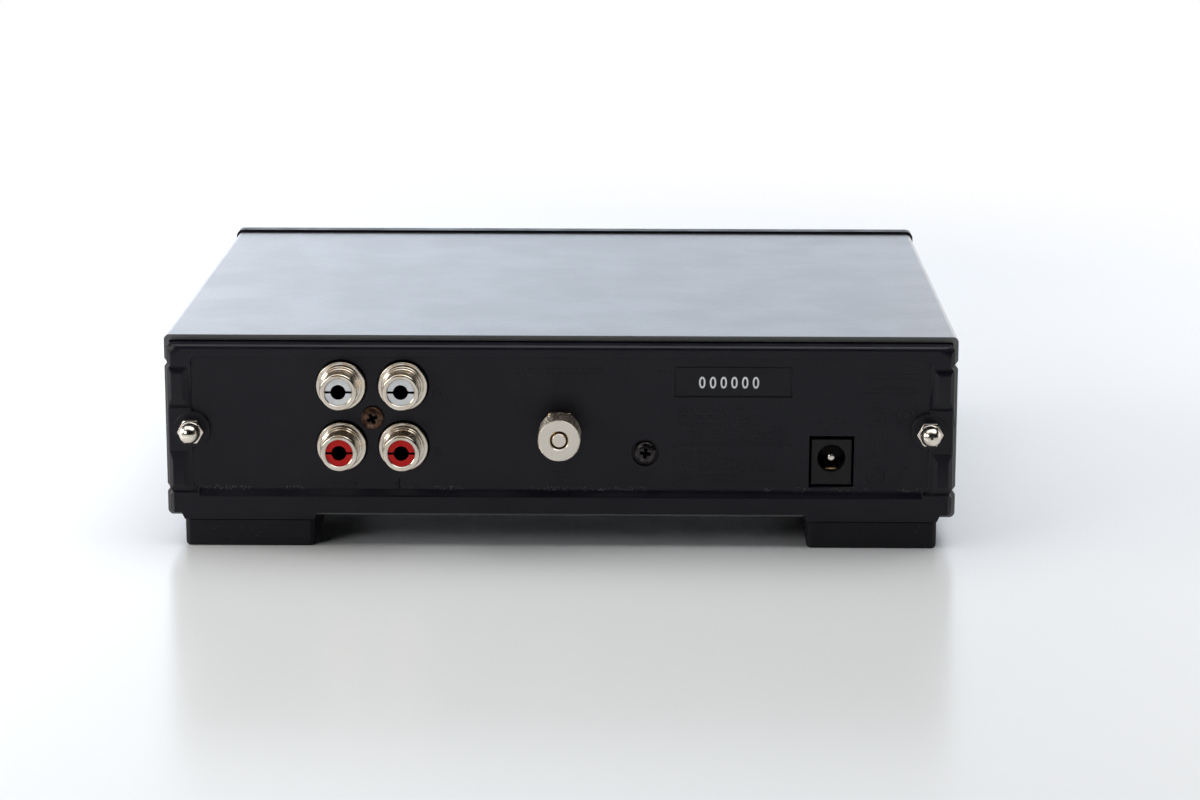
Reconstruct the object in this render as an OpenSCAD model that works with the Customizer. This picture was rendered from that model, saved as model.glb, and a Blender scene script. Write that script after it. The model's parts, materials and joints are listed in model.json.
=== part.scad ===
// Small phono preamplifier for a record player.
// A painted metal sleeve in two halves is closed by a moulded front and a moulded
// rear, which two long tie rods pull together. The circuit board stands inside on
// the floor of the lower half. X is across, Y runs from front to rear, Z is up.

/* [Case] */
// Outer width of the metal sleeve
case_w = 180; // [176:1:230]
// Outer height of the metal sleeve
case_h = 42; // [42:0.5:60]
// Length of the metal sleeve
case_len = 140; // [134:1:220]
// Thickness of the sleeve's sheet
shell_t = 1.35; // [1:0.05:1.8]
// Radius of the sleeve's four long outer edges
edge_r = 1.3; // [0.5:0.1:2.2]
// Distance of the side grooves from the sleeve's top and bottom
groove_inset = 6.4; // [6:0.1:9]
// Width of a side groove at the surface
groove_w = 1.8; // [1:0.1:2.2]
// Depth of a side groove
groove_depth = 0.7; // [0.4:0.05:0.8]
// Height of the lip where the two halves overlap
lap_h = 2; // [1:0.1:3]
// Gap left around a moulding that plugs into the sleeve
plug_gap = 0.15; // [0.05:0.05:0.3]
// Depth that a moulding plugs into the sleeve
plug_depth = 6; // [4:0.5:8]
// Wall of the mouldings
mould_t = 2.2; // [1.8:0.1:2.6]

/* [Rear moulding] */
// How far the rear moulding stands out of the sleeve
rear_stand = 4.7; // [4.2:0.1:6]
// Depth of the connector field below the rear rim
field_depth = 1; // [0.6:0.1:1.4]
// Rim left at each side of the connector field
field_side = 5.1; // [4.8:0.1:6]
// Rim left above the connector field
field_top = 2.7; // [2:0.1:3]
// Rim left below the connector field, with its sloping ledge
field_bottom = 5.6; // [5:0.1:6]
// Height of the sloping ledge at the bottom of the field
ledge_run = 1.6; // [1:0.1:2]
// How far the rim stands out past the plug at each side, over the sleeve's end
rim_over = 0.5; // [0.3:0.1:0.8]
// Chamfer along the two upright rear edges
side_bevel = 1.1; // [0.7:0.1:1.4]
// Chamfer of the upright edges beside the acorn nuts
block_bevel = 0.5; // [0.3:0.1:0.7]
// Rounding of the top rear edge
top_round = 1; // [0.5:0.1:1.2]
// How far the rolled-off top rear corners reach along the top
corner_roll_x = 5; // [4:0.1:6]
// How far the rolled-off top rear corners reach down the side
corner_roll_z = 3.8; // [3:0.1:4]
// Radius that rolls the top rear corners off
corner_roll_r = 3.6; // [3.5:0.1:5]
// Depth of the grooves round the four side bars
bar_depth = 0.75; // [0.5:0.05:0.9]
// Half the height of the block left between two side bars
bar_near = 5; // [4.8:0.1:5.6]
// Width of a side bar's sloping flanks
bar_flank = 1.1; // [0.8:0.1:1.3]
// Width of the flank that faces the block
bar_near_flank = 1.9; // [1.2:0.1:2.4]
// Distance from the field's edge to the foot of a side bar
bar_gap = 0.9; // [0.6:0.1:1.2]

/* [Front moulding] */
// Thickness of the front moulding's plate
front_t = 5; // [4:0.1:8]
// How far the front plate stands proud of the sleeve all round
front_proud = 0.6; // [0.3:0.1:1.2]
// Corner radius of the front plate, seen from the front
front_corner_r = 1.9; // [1:0.1:4]
// Rounding of the front plate's face edges
front_edge_r = 1.4; // [0.5:0.1:2]

/* [Tie rods] */
// Distance of each tie rod from the sleeve's side
rod_inset = 6.6; // [6:0.1:7]
// Diameter of the tie rods
rod_d = 2.95; // [2.5:0.05:3.2]
// Diameter of the boss under each acorn nut
rod_boss_d = 8.2; // [7:0.1:9]
// Width of the acorn nuts across their flats
acorn_af = 5.2; // [5:0.1:6.5]
// Height of the acorn nut's hexagon
acorn_hex_h = 2.9; // [2:0.1:4]
// Diameter of the acorn nut's dome
acorn_dome_d = 4.6; // [4:0.1:5]
// Overall height of an acorn nut
acorn_h = 6.8; // [6.6:0.1:9]

/* [Feet] */
// Height of the feet
foot_h = 6.3; // [5:0.1:12]
// Width of a foot
foot_w = 29.6; // [20:0.1:40]
// Length of a foot from front to rear
foot_len = 24; // [22:0.5:40]
// Distance from the sleeve's side to a foot's outer side
foot_inset = 4.4; // [2:0.1:12]
// Chamfer on the upright edges of a foot
foot_chamfer = 1; // [0.5:0.1:2]
// Distance of the foot screw from the foot's outer end
foot_screw_back = 16; // [15:0.5:18]

/* [Circuit board] */
// Distance of the board's edges from the sleeve's sides
board_inset = 12; // [10:0.1:14]
// Thickness of the board
board_t = 1.6; // [1:0.1:2]
// Depth of the board's underside below the middle of the case
board_drop = 14.25; // [13.4:0.05:15]
// Distance of the standoffs from the board's edges
standoff_inset = 4.5; // [4:0.1:6]

/* [Phono sockets] */
// Distance of the socket block's centre from the sleeve's side
phono_inset = 47.5; // [40:0.5:55]
// Distance between neighbouring sockets
phono_pitch = 14; // [13.4:0.1:14.5]
// Height of the lower sockets above the board
phono_rise = 8.85; // [8.4:0.05:9.2]
// Diameter of a socket's flange
phono_flange_d = 11.1; // [10.5:0.1:11.6]
// Height of the flange above the connector field
phono_flange_up = 1.5; // [1:0.1:2]
// Diameter of the step between flange and barrel
phono_step_d = 9.4; // [9:0.1:10]
// Diameter of a socket's barrel, which the plug grips
phono_barrel_d = 8.3; // [8:0.05:8.6]
// Height of a socket above the connector field
phono_up = 8.2; // [7:0.1:10]
// Diameter of the insulator inside a socket
phono_core_d = 6.1; // [5.8:0.1:6.4]
// Diameter of the hole for the plug's centre pin
phono_pin_hole_d = 3.36; // [3.2:0.02:3.6]
// Depth of the socket block behind the rear moulding
phono_block_d = 10; // [9:0.5:14]

/* [Earth terminal] */
// Diameter of the terminal's stud
stud_d = 3.8; // [3.4:0.05:4]
// Diameter of the thumb nut
thumb_d = 9.5; // [9:0.1:12]
// Length of the thumb nut
thumb_len = 8.4; // [6:0.1:12]
// Width across flats of the hexagon nut behind it
earth_hex_af = 8.4; // [7.6:0.1:9]
// Thickness of that hexagon nut
earth_hex_h = 2; // [1.6:0.1:3]
// Thickness of the loose washer under the thumb nut
earth_washer_t = 0.5; // [0.3:0.05:0.8]

/* [Power inlet] */
// Distance of the power inlet's centre from the sleeve's side
inlet_inset = 28.5; // [26:0.5:31]
// Width of the inlet's body
inlet_w = 9.2; // [9:0.1:10.4]
// Height of the inlet's body
inlet_h = 10.5; // [10:0.1:12]
// Height of the inlet's hole above the board
inlet_rise = 6.1; // [5.4:0.05:6.8]
// Diameter of the inlet's hole
inlet_hole_d = 6.3; // [5.6:0.1:6.6]
// Diameter of the inlet's centre pin
inlet_pin_d = 2; // [1.6:0.05:2.6]
// How far the inlet's face lies below the connector field
inlet_sunk = 0.7; // [0.3:0.1:1.2]
// Gap beside and below the inlet in the rear moulding
inlet_gap = 0.45; // [0.3:0.05:0.6]
// Gap above the inlet in the rear moulding
inlet_headroom = 0.9; // [0.5:0.1:1.2]

/* [Power button] */
// Distance of the power button's centre from the sleeve's side
button_inset = 26; // [23.5:0.5:29]
// Width of the button's cap
button_w = 13; // [10:0.5:15]
// Height of the button's cap
button_h = 6.5; // [5:0.1:8]
// How far the cap stands out of the front plate
button_proud = 1.8; // [1:0.1:3]
// Travel of the button
button_travel = 1.5; // [1:0.1:2.4]
// Gap around the moving cap and plunger
button_gap = 0.3; // [0.2:0.05:0.4]
// Distance of the indicator's centre from the sleeve's side
led_inset = 40; // [38:0.5:44]
// Diameter of the indicator's lens
led_d = 3; // [2.5:0.1:3.5]

/* [Hidden] */
$fn = 48;

small = 0.02;          // running gap between fixed round parts
eps = 0.01;            // overshoot of a cutting tool

// Levels
mid_z = foot_h + case_h / 2;
groove_rise = case_h / 2 - groove_inset;
floor_z = foot_h + shell_t;
board_z = mid_z - board_drop;
board_top = board_z + board_t;
standoff_h = board_z - floor_z;

// Stations from front to rear; the whole object is centred on Y = 0
phono_face = phono_up;
earth_stack = earth_hex_h + earth_washer_t + thumb_len + 0.05;
rear_reach = rear_stand - field_depth + max(earth_stack, phono_face);
total_len = button_proud + front_t + case_len + rear_reach;
face_y = -total_len / 2 + button_proud;
sleeve_y0 = face_y + front_t;
sleeve_y1 = sleeve_y0 + case_len;
rear_y = sleeve_y1 + rear_stand;
field_y = rear_y - field_depth;
behind_y = field_y - mould_t;

// Sizes inside the sleeve
inner_w = case_w - 2 * shell_t;
inner_h = case_h - 2 * shell_t;
plug_w = inner_w - 2 * plug_gap;
plug_h = inner_h - 2 * plug_gap;

// The connector field, measured from the middle of the moulding
field_half_w = plug_w / 2 - field_side;
field_up = plug_h / 2 - field_top;
field_down = plug_h / 2 - field_bottom;

// Places across, from the centre line
rod_x = case_w / 2 - rod_inset;
phono_x = case_w / 2 - phono_inset;
inlet_x = case_w / 2 - inlet_inset;
button_x = case_w / 2 - button_inset;
led_x = case_w / 2 - led_inset;
foot_x = case_w / 2 - foot_inset - foot_w / 2;

// Feet, set back from the moulding's rear and from the sleeve's front end
foot_setback_rear = 0.5;
foot_setback_front = 3;
foot_y_rear = rear_y - foot_setback_rear - foot_len / 2;
foot_y_front = sleeve_y0 + foot_setback_front + foot_len / 2;
foot_screw_off = foot_screw_back - foot_len / 2;

// The board lies between the front plug and the rear moulding
board_gap_front = 3;
board_gap_rear = 0.3;
board_w = case_w - 2 * board_inset;
board_y0 = sleeve_y0 + plug_depth + board_gap_front;
board_y1 = behind_y - board_gap_rear;
standoff_x = board_w / 2 - standoff_inset;
standoff_from_screw = 18;      // from each foot screw to the nearer standoff
standoff_ys = [foot_y_front + foot_screw_off + standoff_from_screw,
               foot_y_rear - foot_screw_off - standoff_from_screw];

// ---------------------------------------------------------------- helpers

// A flat shape drawn in X and Z, stretched along Y from a to b
module along_y(a, b) {
    translate([0, b, 0]) rotate([90, 0, 0]) linear_extrude(b - a) children();
}

// A flat shape drawn in Y and Z, stretched along X, centred
module along_x(length) {
    rotate([90, 0, 90]) translate([0, 0, -length / 2]) linear_extrude(length) children();
}

// Things drawn standing on Z, turned to point to the rear or to the front
module to_rear(p) translate(p) rotate([-90, 0, 0]) children();
module to_front(p) translate(p) rotate([90, 0, 0]) children();

// Both sides of the centre line
module both_sides() {
    children();
    mirror([1, 0, 0]) children();
}

module round_rect(w, h, r) {
    square([w - 2 * r, h], center = true);
    square([w, h - 2 * r], center = true);
    for (sx = [-1, 1], sy = [-1, 1])
        translate([sx * (w / 2 - r), sy * (h / 2 - r)]) circle(r);
}

// A tube standing on Z
module ring(outer_r, inner_r, h) {
    difference() {
        cylinder(r = outer_r, h = h);
        translate([0, 0, -eps]) cylinder(r = inner_r, h = h + 2 * eps);
    }
}

module hexagon(af, h) cylinder(d = af / cos(30), h = h, $fn = 6);

// A hexagon whose corners are turned down by a shallow sphere
module hex_nut(af, bore_r, h) {
    corner_r = af / cos(30) / 2;
    dome_r = 2.2 * af;
    difference() {
        intersection() {
            hexagon(af, h);
            translate([0, 0, h - dome_r + 0.35]) sphere(dome_r, $fn = 96);
            cylinder(r = corner_r, h = h);
        }
        translate([0, 0, -eps]) cylinder(r = bore_r, h = h + 1);
    }
}

// Cross recess of a screw head, cut down from z = 0
module cross_recess(size) {
    translate([-size / 2, -size / 8, -size / 2]) cube([size, size / 4, size]);
    translate([-size / 8, -size / 2, -size / 2]) cube([size / 4, size, size]);
}

// A pan-head screw: its shank points down from z = 0, its head stands up
module pan_screw(head_r, head_h, shank_r, shank_len) {
    edge = head_h * 0.45;
    dome = head_h - edge;
    dome_r = (head_r * head_r + dome * dome) / (2 * dome);
    difference() {
        intersection() {
            cylinder(r = head_r, h = head_h);
            translate([0, 0, head_h - dome_r]) sphere(dome_r, $fn = 96);
        }
        translate([0, 0, head_h]) cross_recess(head_r * 1.15);
    }
    translate([0, 0, -shank_len]) cylinder(r = shank_r, h = shank_len + eps);
}

// ---------------------------------------------------------------- sleeve

// The two grooves on the right-hand side, as triangles of width w and depth d
module side_notches(x, w, d) {
    for (s = [-1, 1])
        translate([x, s * groove_rise])
            polygon([[-d, 0], [eps, -w / 2 - eps], [eps, w / 2 + eps]]);
}

module sleeve_section() {
    difference() {
        round_rect(case_w, case_h, edge_r);
        round_rect(inner_w, inner_h, max(edge_r - shell_t, 0.3));
        both_sides() side_notches(case_w / 2, groove_w, groove_depth);
    }
    both_sides() for (s = [-1, 1])
        translate([inner_w / 2, s * groove_rise])
            polygon([[-groove_depth, 0], [eps, -groove_w / 2], [eps, groove_w / 2]]);
}

// The lower half's lip stands inside the upper half's edge, half a sheet thick
lip_t = shell_t / 2;
lip_gap = 0.1;

module upper_shell() {
    color("#2b2c2e") along_y(sleeve_y0, sleeve_y1) translate([0, mid_z]) difference() {
        sleeve_section();
        translate([-case_w, -case_h]) square([2 * case_w, case_h]);
        both_sides() translate([inner_w / 2 - 1, -1])
            square([lip_t + lip_gap + 1, lap_h + lip_gap + 1]);
    }
}

module lower_shell() {
    color("#2b2c2e") difference() {
        along_y(sleeve_y0, sleeve_y1) translate([0, mid_z]) difference() {
            sleeve_section();
            translate([-case_w, lap_h]) square([2 * case_w, case_h]);
            both_sides() translate([inner_w / 2 + lip_t, 0]) square([shell_t, lap_h + 1]);
        }
        for (p = foot_screw_places) translate([p[0], p[1], 0])
            cylinder(r = foot_screw_r + 0.25, h = case_h / 2);
    }
}

// ---------------------------------------------------------------- mouldings

// Outline of a moulding that slides into the sleeve, past its inner ridges
module plug_outline() {
    difference() {
        round_rect(plug_w, plug_h, max(edge_r - shell_t, 0.2) + 0.9);
        both_sides() side_notches(plug_w / 2, groove_w + 0.4, groove_depth + 0.05);
    }
}

// The side walls are thicker by the depth of the notches
plug_hollow_w = plug_w - 2 * (mould_t + groove_depth);
plug_hollow_h = plug_h - 2 * mould_t;

module plug_ring() {
    difference() {
        plug_outline();
        square([plug_hollow_w, plug_hollow_h], center = true);
    }
}

// Round bosses for the tie rods, with their holes cut in the caller
module rod_bosses(a, b, d) {
    both_sides() translate([rod_x, 0, mid_z]) to_rear([0, a, 0]) cylinder(d = d, h = b - a);
}

module rod_holes(a, b, d) rod_bosses(a - eps, b + eps, d);

// The rim outside the sleeve is wider than the plug and covers the sleeve's end
rim_half_w = plug_w / 2 + rim_over;

module rim_outline() {
    difference() {
        round_rect(2 * rim_half_w, plug_h, max(edge_r - shell_t, 0.2) + 0.9);
        both_sides() side_notches(rim_half_w, groove_w, groove_depth);
    }
}

// A block over the whole rim, from z0 up by h, with both upright edges bevelled
module bevelled_block(bevel, z0, h) {
    translate([0, 0, z0]) linear_extrude(h) polygon([
        [-rim_half_w, sleeve_y1], [rim_half_w, sleeve_y1],
        [rim_half_w, rear_y - bevel], [rim_half_w - bevel, rear_y],
        [bevel - rim_half_w, rear_y], [-rim_half_w, rear_y - bevel]]);
}

// Body of the rear moulding: the plug, and the rim with its rounded top edge
module rear_rim() {
    along_y(sleeve_y1 - plug_depth, sleeve_y1 + eps) translate([0, mid_z]) plug_outline();
    intersection() {
        along_y(sleeve_y1, rear_y) translate([0, mid_z]) rim_outline();
        union() {
            bevelled_block(side_bevel, 0, case_h * 2);
            bevelled_block(block_bevel, mid_z - bar_near, 2 * bar_near);
        }
        along_x(case_w) {
            top = mid_z + plug_h / 2;
            translate([sleeve_y1, 0]) square([rear_stand, top - top_round]);
            translate([sleeve_y1, 0]) square([rear_stand - top_round, top]);
            translate([rear_y - top_round, top - top_round]) circle(top_round);
        }
    }
}

// The lugs under the rim that rest on the feet and butt against the sleeve
module rear_lugs() {
    lug_top = mid_z - plug_h / 2 + 1.5;
    both_sides() translate([foot_x, 0, 0]) along_y(sleeve_y1, rear_y) polygon([
        [-foot_w / 2, foot_h], [foot_w / 2, foot_h],
        [foot_w / 2 + 1, lug_top - 0.8], [foot_w / 2 + 1, lug_top],
        [-foot_w / 2 - 1, lug_top], [-foot_w / 2 - 1, lug_top - 0.8]]);
}

// The groove round one side bar, with the bar's sloping flanks left standing in it
module bar_groove() {
    x0 = field_half_w + bar_gap;
    foot_near = bar_near + 0.3;
    foot_far = groove_rise - 0.5;
    far = groove_rise + 0.1;
    base_y = rear_y - bar_depth;
    high_y = rear_y + 2;
    difference() {
        translate([field_half_w - 1, base_y, mid_z + bar_near])
            cube([case_w, 2, far - bar_near]);
        intersection() {
            translate([0, 0, mid_z]) linear_extrude(case_h) polygon([
                [x0, base_y - 1], [x0, base_y], [x0 + bar_flank, rear_y],
                [x0 + bar_flank, high_y], [2 * case_w, high_y], [2 * case_w, base_y - 1]]);
            along_x(4 * case_w) polygon([
                [base_y - 1, mid_z + foot_near], [base_y, mid_z + foot_near],
                [rear_y, mid_z + foot_near + bar_near_flank],
                [high_y, mid_z + foot_near + bar_near_flank],
                [high_y, mid_z + foot_far - bar_flank], [rear_y, mid_z + foot_far - bar_flank],
                [base_y, mid_z + foot_far], [base_y - 1, mid_z + foot_far]]);
        }
    }
}

module mirror_up_down() {
    children();
    translate([0, 0, 2 * mid_z]) mirror([0, 0, 1]) children();
}

// What is cut away to roll off a top rear corner: all that lies outside a round
// bar laid across the corner, which touches the rim's face
module corner_cut() {
    r = corner_roll_r;
    translate([rim_half_w - corner_roll_x, rear_y, mid_z + plug_h / 2])
        rotate([0, atan2(corner_roll_z, corner_roll_x), 0]) difference() {
            translate([-8, -r, 0]) cube([24, r + 1, 8]);
            translate([-9, -r, 0]) rotate([0, 90, 0]) cylinder(r = r, h = 26, $fn = 96);
        }
}

module connector_field() {
    r = 1.4;
    w = 2 * field_half_w;
    h = field_up + field_down;
    along_y(field_y, rear_y + 1) translate([0, mid_z + (field_up - field_down) / 2])
        round_rect(w, h, r);
    // the ledge at the bottom slopes out to the rim
    along_x(w - 2 * r) polygon([
        [field_y, mid_z - field_down], [rear_y + eps, mid_z - field_down - ledge_run],
        [rear_y + eps, mid_z - field_down + 2], [field_y, mid_z - field_down + 2]]);
}

hole_gap = 0.25;       // clearance round what passes through the field
hole_cut = mould_t + field_depth + 2;

module field_hole(x, z, r) to_rear([x, behind_y - 1, z]) cylinder(r = r, h = hole_cut);

module rear_panel() {
    color("#1f1f22") difference() {
        union() {
            difference() {
                union() {
                    rear_rim();
                    rear_lugs();
                }
                both_sides() corner_cut();
                both_sides() mirror_up_down() bar_groove();
                connector_field();
                // hollow the inside down to the moulding's wall
                along_y(sleeve_y1 - plug_depth - 1, behind_y) translate([0, mid_z])
                    square([plug_hollow_w, plug_hollow_h], center = true);
            }
            rod_bosses(behind_y, rod_seat_y, rod_boss_d);
        }
        rod_holes(behind_y - 20, rod_seat_y, rod_d + 0.4);
        // holes for the sockets, the terminal and the screws
        for (p = phono_places) field_hole(p[0], p[1], phono_flange_d / 2 + hole_gap);
        field_hole(0, mid_z, stud_d / 2 + hole_gap);
        field_hole(phono_x, block_screw_z, block_screw_r + hole_gap);
        field_hole(bracket_x, bracket_z, bracket_screw_r + hole_gap);
        to_rear([bracket_x, field_y - screw_recess, bracket_z])
            cylinder(r = pan_head_r + 2 * hole_gap, h = 2);
        translate([-inlet_x - inlet_w / 2 - inlet_gap, behind_y - 1, board_top - inlet_gap])
            cube([inlet_w + 2 * inlet_gap, hole_cut, inlet_h + inlet_gap + inlet_headroom]);
        translate([label_x - label_w / 2, field_y - label_sunk, label_z - label_h / 2])
            cube([label_w, 1, label_h]);
    }
}

module front_panel() {
    w = case_w + 2 * front_proud;
    h = case_h + 2 * front_proud;
    r = front_edge_r;
    color("#1a1a1c") difference() {
        union() {
            intersection() {
                along_y(face_y, sleeve_y0) translate([0, mid_z])
                    round_rect(w, h, front_corner_r);
                linear_extrude(case_h * 2) union() {
                    translate([-w / 2, face_y + r]) square([w, front_t]);
                    translate([r - w / 2, face_y]) square([w - 2 * r, front_t]);
                    both_sides() translate([w / 2 - r, face_y + r]) circle(r);
                }
                along_x(w) union() {
                    translate([face_y + r, mid_z - h / 2]) square([front_t, h]);
                    translate([face_y, mid_z - h / 2 + r]) square([front_t, h - 2 * r]);
                    for (s = [-1, 1])
                        translate([face_y + r, mid_z + s * (h / 2 - r)]) circle(r);
                }
            }
            along_y(sleeve_y0 - eps, sleeve_y0 + plug_depth) translate([0, mid_z]) plug_ring();
            rod_bosses(face_y + mould_t, insert_y1, rod_boss_d);
        }
        // hollow behind the plate, clear of the rods' bosses
        along_y(face_y + mould_t, sleeve_y0 + eps) translate([0, mid_z])
            square([2 * (rod_x - rod_boss_d / 2 - 1), plug_h - 2 * mould_t], center = true);
        rod_holes(insert_y0, insert_y1, insert_d + 2 * small);
        // opening for the button, with a shallow dish around it, and for the lens
        along_y(face_y - 1, sleeve_y0) translate([-button_x, mid_z])
            round_rect(button_w + 2 * button_gap, button_h + 2 * button_gap, button_corner_r);
        to_front([-led_x, face_y + mould_t + 1, mid_z]) cylinder(d = led_d + 2 * small, h = 9);
        translate([-button_x, face_y - dish_r + dish_depth, mid_z])
            sphere(dish_r, $fn = 96);
    }
}

// ---------------------------------------------------------------- feet

foot_screw_r = 1.45;
foot_screw_places = [for (s = [-1, 1]) each [
    [s * foot_x, foot_y_rear - foot_screw_off],
    [s * foot_x, foot_y_front + foot_screw_off]]];
foot_web = 2.9;        // material left above the screw head's recess
foot_recess_r = 3.4;

// A foot centred on x and y; the screw's place is set off by dy
module foot(x, y, dy) {
    c = foot_chamfer;
    a = foot_w / 2;
    b = foot_len / 2;
    bottom = 0.5;      // small bevel round the sole
    color("#1b1b1d") translate([x, y, 0]) difference() {
        intersection() {
            linear_extrude(foot_h) polygon([
                [c - a, -b], [a - c, -b], [a, c - b], [a, b - c],
                [a - c, b], [c - a, b], [-a, b - c], [-a, c - b]]);
            along_x(foot_w) polygon([
                [bottom - b, 0], [b - bottom, 0], [b, bottom], [b, foot_h],
                [-b, foot_h], [-b, bottom]]);
            along_y(-b, b) polygon([
                [bottom - a, 0], [a - bottom, 0], [a, bottom], [a, foot_h],
                [-a, foot_h], [-a, bottom]]);
        }
        translate([0, dy, -eps]) cylinder(r = foot_recess_r, h = foot_h - foot_web + eps);
        translate([0, dy, -eps]) cylinder(r = foot_screw_r + 0.2, h = foot_h + 1);
    }
}

module foot_front_left() foot(-foot_x, foot_y_front, foot_screw_off);
module foot_front_right() foot(foot_x, foot_y_front, foot_screw_off);
module foot_rear_left() foot(-foot_x, foot_y_rear, -foot_screw_off);
module foot_rear_right() foot(foot_x, foot_y_rear, -foot_screw_off);

nut_h = 2.4;           // thickness of an M3 nut
nut_af = 5.5;          // width of an M3 nut across its flats

module foot_screws() {
    color("#3a3a3c") for (p = foot_screw_places)
        translate([p[0], p[1], foot_h - foot_web]) rotate([180, 0, 0])
            pan_screw(2.7, 2, foot_screw_r, foot_web + shell_t + nut_h + 0.6);
}

module foot_nuts() {
    color("silver") for (p = foot_screw_places) translate([p[0], p[1], floor_z])
        hex_nut(nut_af, foot_screw_r + small, nut_h);
}

// ---------------------------------------------------------------- tie rods

rod_seat_y = rear_y + 0.2;
insert_d = 5;
insert_y0 = face_y + mould_t + 1;
insert_y1 = sleeve_y0 + plug_depth;
acorn_base_y = rod_seat_y;
acorn_bore_h = acorn_h - 2.6;

module tie_rods() {
    color("silver") both_sides() translate([rod_x, 0, mid_z])
        to_rear([0, insert_y0 + 0.3, 0])
            cylinder(d = rod_d, h = acorn_base_y + acorn_bore_h - 0.4 - insert_y0 - 0.3);
}

module tie_rod_inserts() {
    color("#c9a24b") both_sides() translate([rod_x, 0, mid_z]) to_rear([0, insert_y0, 0])
        ring(insert_d / 2, rod_d / 2 + small, insert_y1 - insert_y0);
}

module acorn_nuts() {
    dome_r = acorn_dome_d / 2;
    color("silver") both_sides() translate([rod_x, 0, mid_z]) to_rear([0, acorn_base_y, 0])
        difference() {
            union() {
                intersection() {
                    hexagon(acorn_af, acorn_hex_h);
                    translate([0, 0, acorn_hex_h - 2.05 * acorn_af])
                        sphere(2.1 * acorn_af, $fn = 96);
                }
                cylinder(r = dome_r, h = acorn_h - dome_r);
                translate([0, 0, acorn_h - dome_r]) sphere(dome_r);
            }
            translate([0, 0, -eps]) cylinder(r = rod_d / 2 + small, h = acorn_bore_h);
        }
}

// ---------------------------------------------------------------- board

module main_board() {
    color("#1d5a34") difference() {
        translate([-board_w / 2, board_y0, board_z])
            cube([board_w, board_y1 - board_y0, board_t]);
        for (sx = [-1, 1], y = standoff_ys) translate([sx * standoff_x, y, board_z - 1])
            cylinder(r = 1.6, h = board_t + 2);
    }
}

standoff_base = 0.6;   // solid bottom of a standoff

module board_standoffs() {
    color("#c9a24b") for (sx = [-1, 1], y = standoff_ys)
        translate([sx * standoff_x, y, floor_z]) difference() {
            hexagon(nut_af, standoff_h);
            translate([0, 0, standoff_base]) cylinder(r = 1.45 + small, h = standoff_h);
        }
}

module board_screws() {
    color("silver") for (sx = [-1, 1], y = standoff_ys)
        translate([sx * standoff_x, y, board_top])
            pan_screw(2.7, 2, 1.45, board_t + standoff_h - standoff_base - 0.4);
}

// ---------------------------------------------------------------- sockets

pan_head_r = 2.5;
block_screw_r = 1.4;
block_screw_z = board_top + phono_rise + phono_pitch / 2 - 0.5;
core_r = phono_core_d / 2;
block_wall = 1.5;      // block left above and beside a socket
phono_block_h = phono_rise + phono_pitch + core_r + block_wall;
pin_hole_r = phono_pin_hole_d / 2;
contact_r = pin_hole_r + 0.6;
core_front = phono_up - 0.3;
// x and z of the four sockets: inputs nearer the side, left above right
phono_places = [for (sx = [1, -1], row = [1, 0])
    [phono_x + sx * phono_pitch / 2, board_top + phono_rise + row * phono_pitch]];

module phono_shell(i) {
    p = phono_places[i];
    lip = 0.45;        // rounding of the barrel's front
    barrel_r = phono_barrel_d / 2;
    color("#c8c4ba") to_rear([p[0], field_y, p[1]]) rotate_extrude($fn = 96)
        difference() {
            union() {
                translate([0, -mould_t]) square([phono_flange_d / 2, mould_t + phono_flange_up]);
                square([phono_step_d / 2, phono_flange_up + 0.8]);
                square([barrel_r, phono_up - lip]);
                square([barrel_r - lip, phono_up]);
                translate([barrel_r - lip, phono_up - lip]) circle(lip, $fn = 32);
            }
            translate([-1, -mould_t - 1])
                square([core_r + small + 1, mould_t + phono_up + 2]);
        }
}

// White or red insulator: a split ring around the centre pin's hole
module phono_core(i, tint) {
    p = phono_places[i];
    back = mould_t + phono_block_d - 1;
    slot_w = 0.5;
    color(tint) to_rear([p[0], field_y, p[1]]) difference() {
        translate([0, 0, -back]) cylinder(r = core_r, h = back + core_front);
        translate([0, 0, -eps - 0.5]) cylinder(r = pin_hole_r, h = core_front + 1);
        translate([0, 0, -back - eps]) cylinder(r = contact_r + small, h = back - 0.5 + eps);
        translate([-core_r - 1, -slot_w / 2, core_front - 3])
            cube([2 * core_r + 2, slot_w, 4]);
    }
}

module phono_shell_input_left() phono_shell(0);
module phono_shell_input_right() phono_shell(1);
module phono_shell_output_left() phono_shell(2);
module phono_shell_output_right() phono_shell(3);
module phono_core_input_left() phono_core(0, "#e6e6ea");
module phono_core_input_right() phono_core(1, "#c0201c");
module phono_core_output_left() phono_core(2, "#e6e6ea");
module phono_core_output_right() phono_core(3, "#c0201c");

module phono_block() {
    w = phono_pitch + 2 * (phono_flange_d / 2 + block_wall);
    color("#18181a") difference() {
        translate([phono_x - w / 2, behind_y - phono_block_d, board_top])
            cube([w, phono_block_d, phono_block_h]);
        for (p = phono_places) to_rear([p[0], behind_y - phono_block_d - 1, p[1]])
            cylinder(r = core_r + small, h = phono_block_d + 2);
        to_rear([phono_x, behind_y - 8, block_screw_z]) cylinder(r = block_screw_r + small, h = 9);
    }
}

module phono_contacts() {
    color("#c9a24b") for (p = phono_places)
        to_rear([p[0], behind_y - phono_block_d + 1, p[1]])
            ring(contact_r, pin_hole_r, phono_block_d + mould_t - 2);
}

module phono_block_screw() {
    color("#6b4a30") to_rear([phono_x, field_y, block_screw_z])
        pan_screw(2.6, 1.5, block_screw_r, mould_t + 6);
}

// ---------------------------------------------------------------- earth terminal

stud_r = stud_d / 2;
lug_t = 0.8;
inner_nut_h = 3;
hex_y = field_y;
washer_y = hex_y + earth_hex_h + 0.05;
thumb_y = washer_y + earth_washer_t;
thumb_end = thumb_y + thumb_len;

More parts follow.
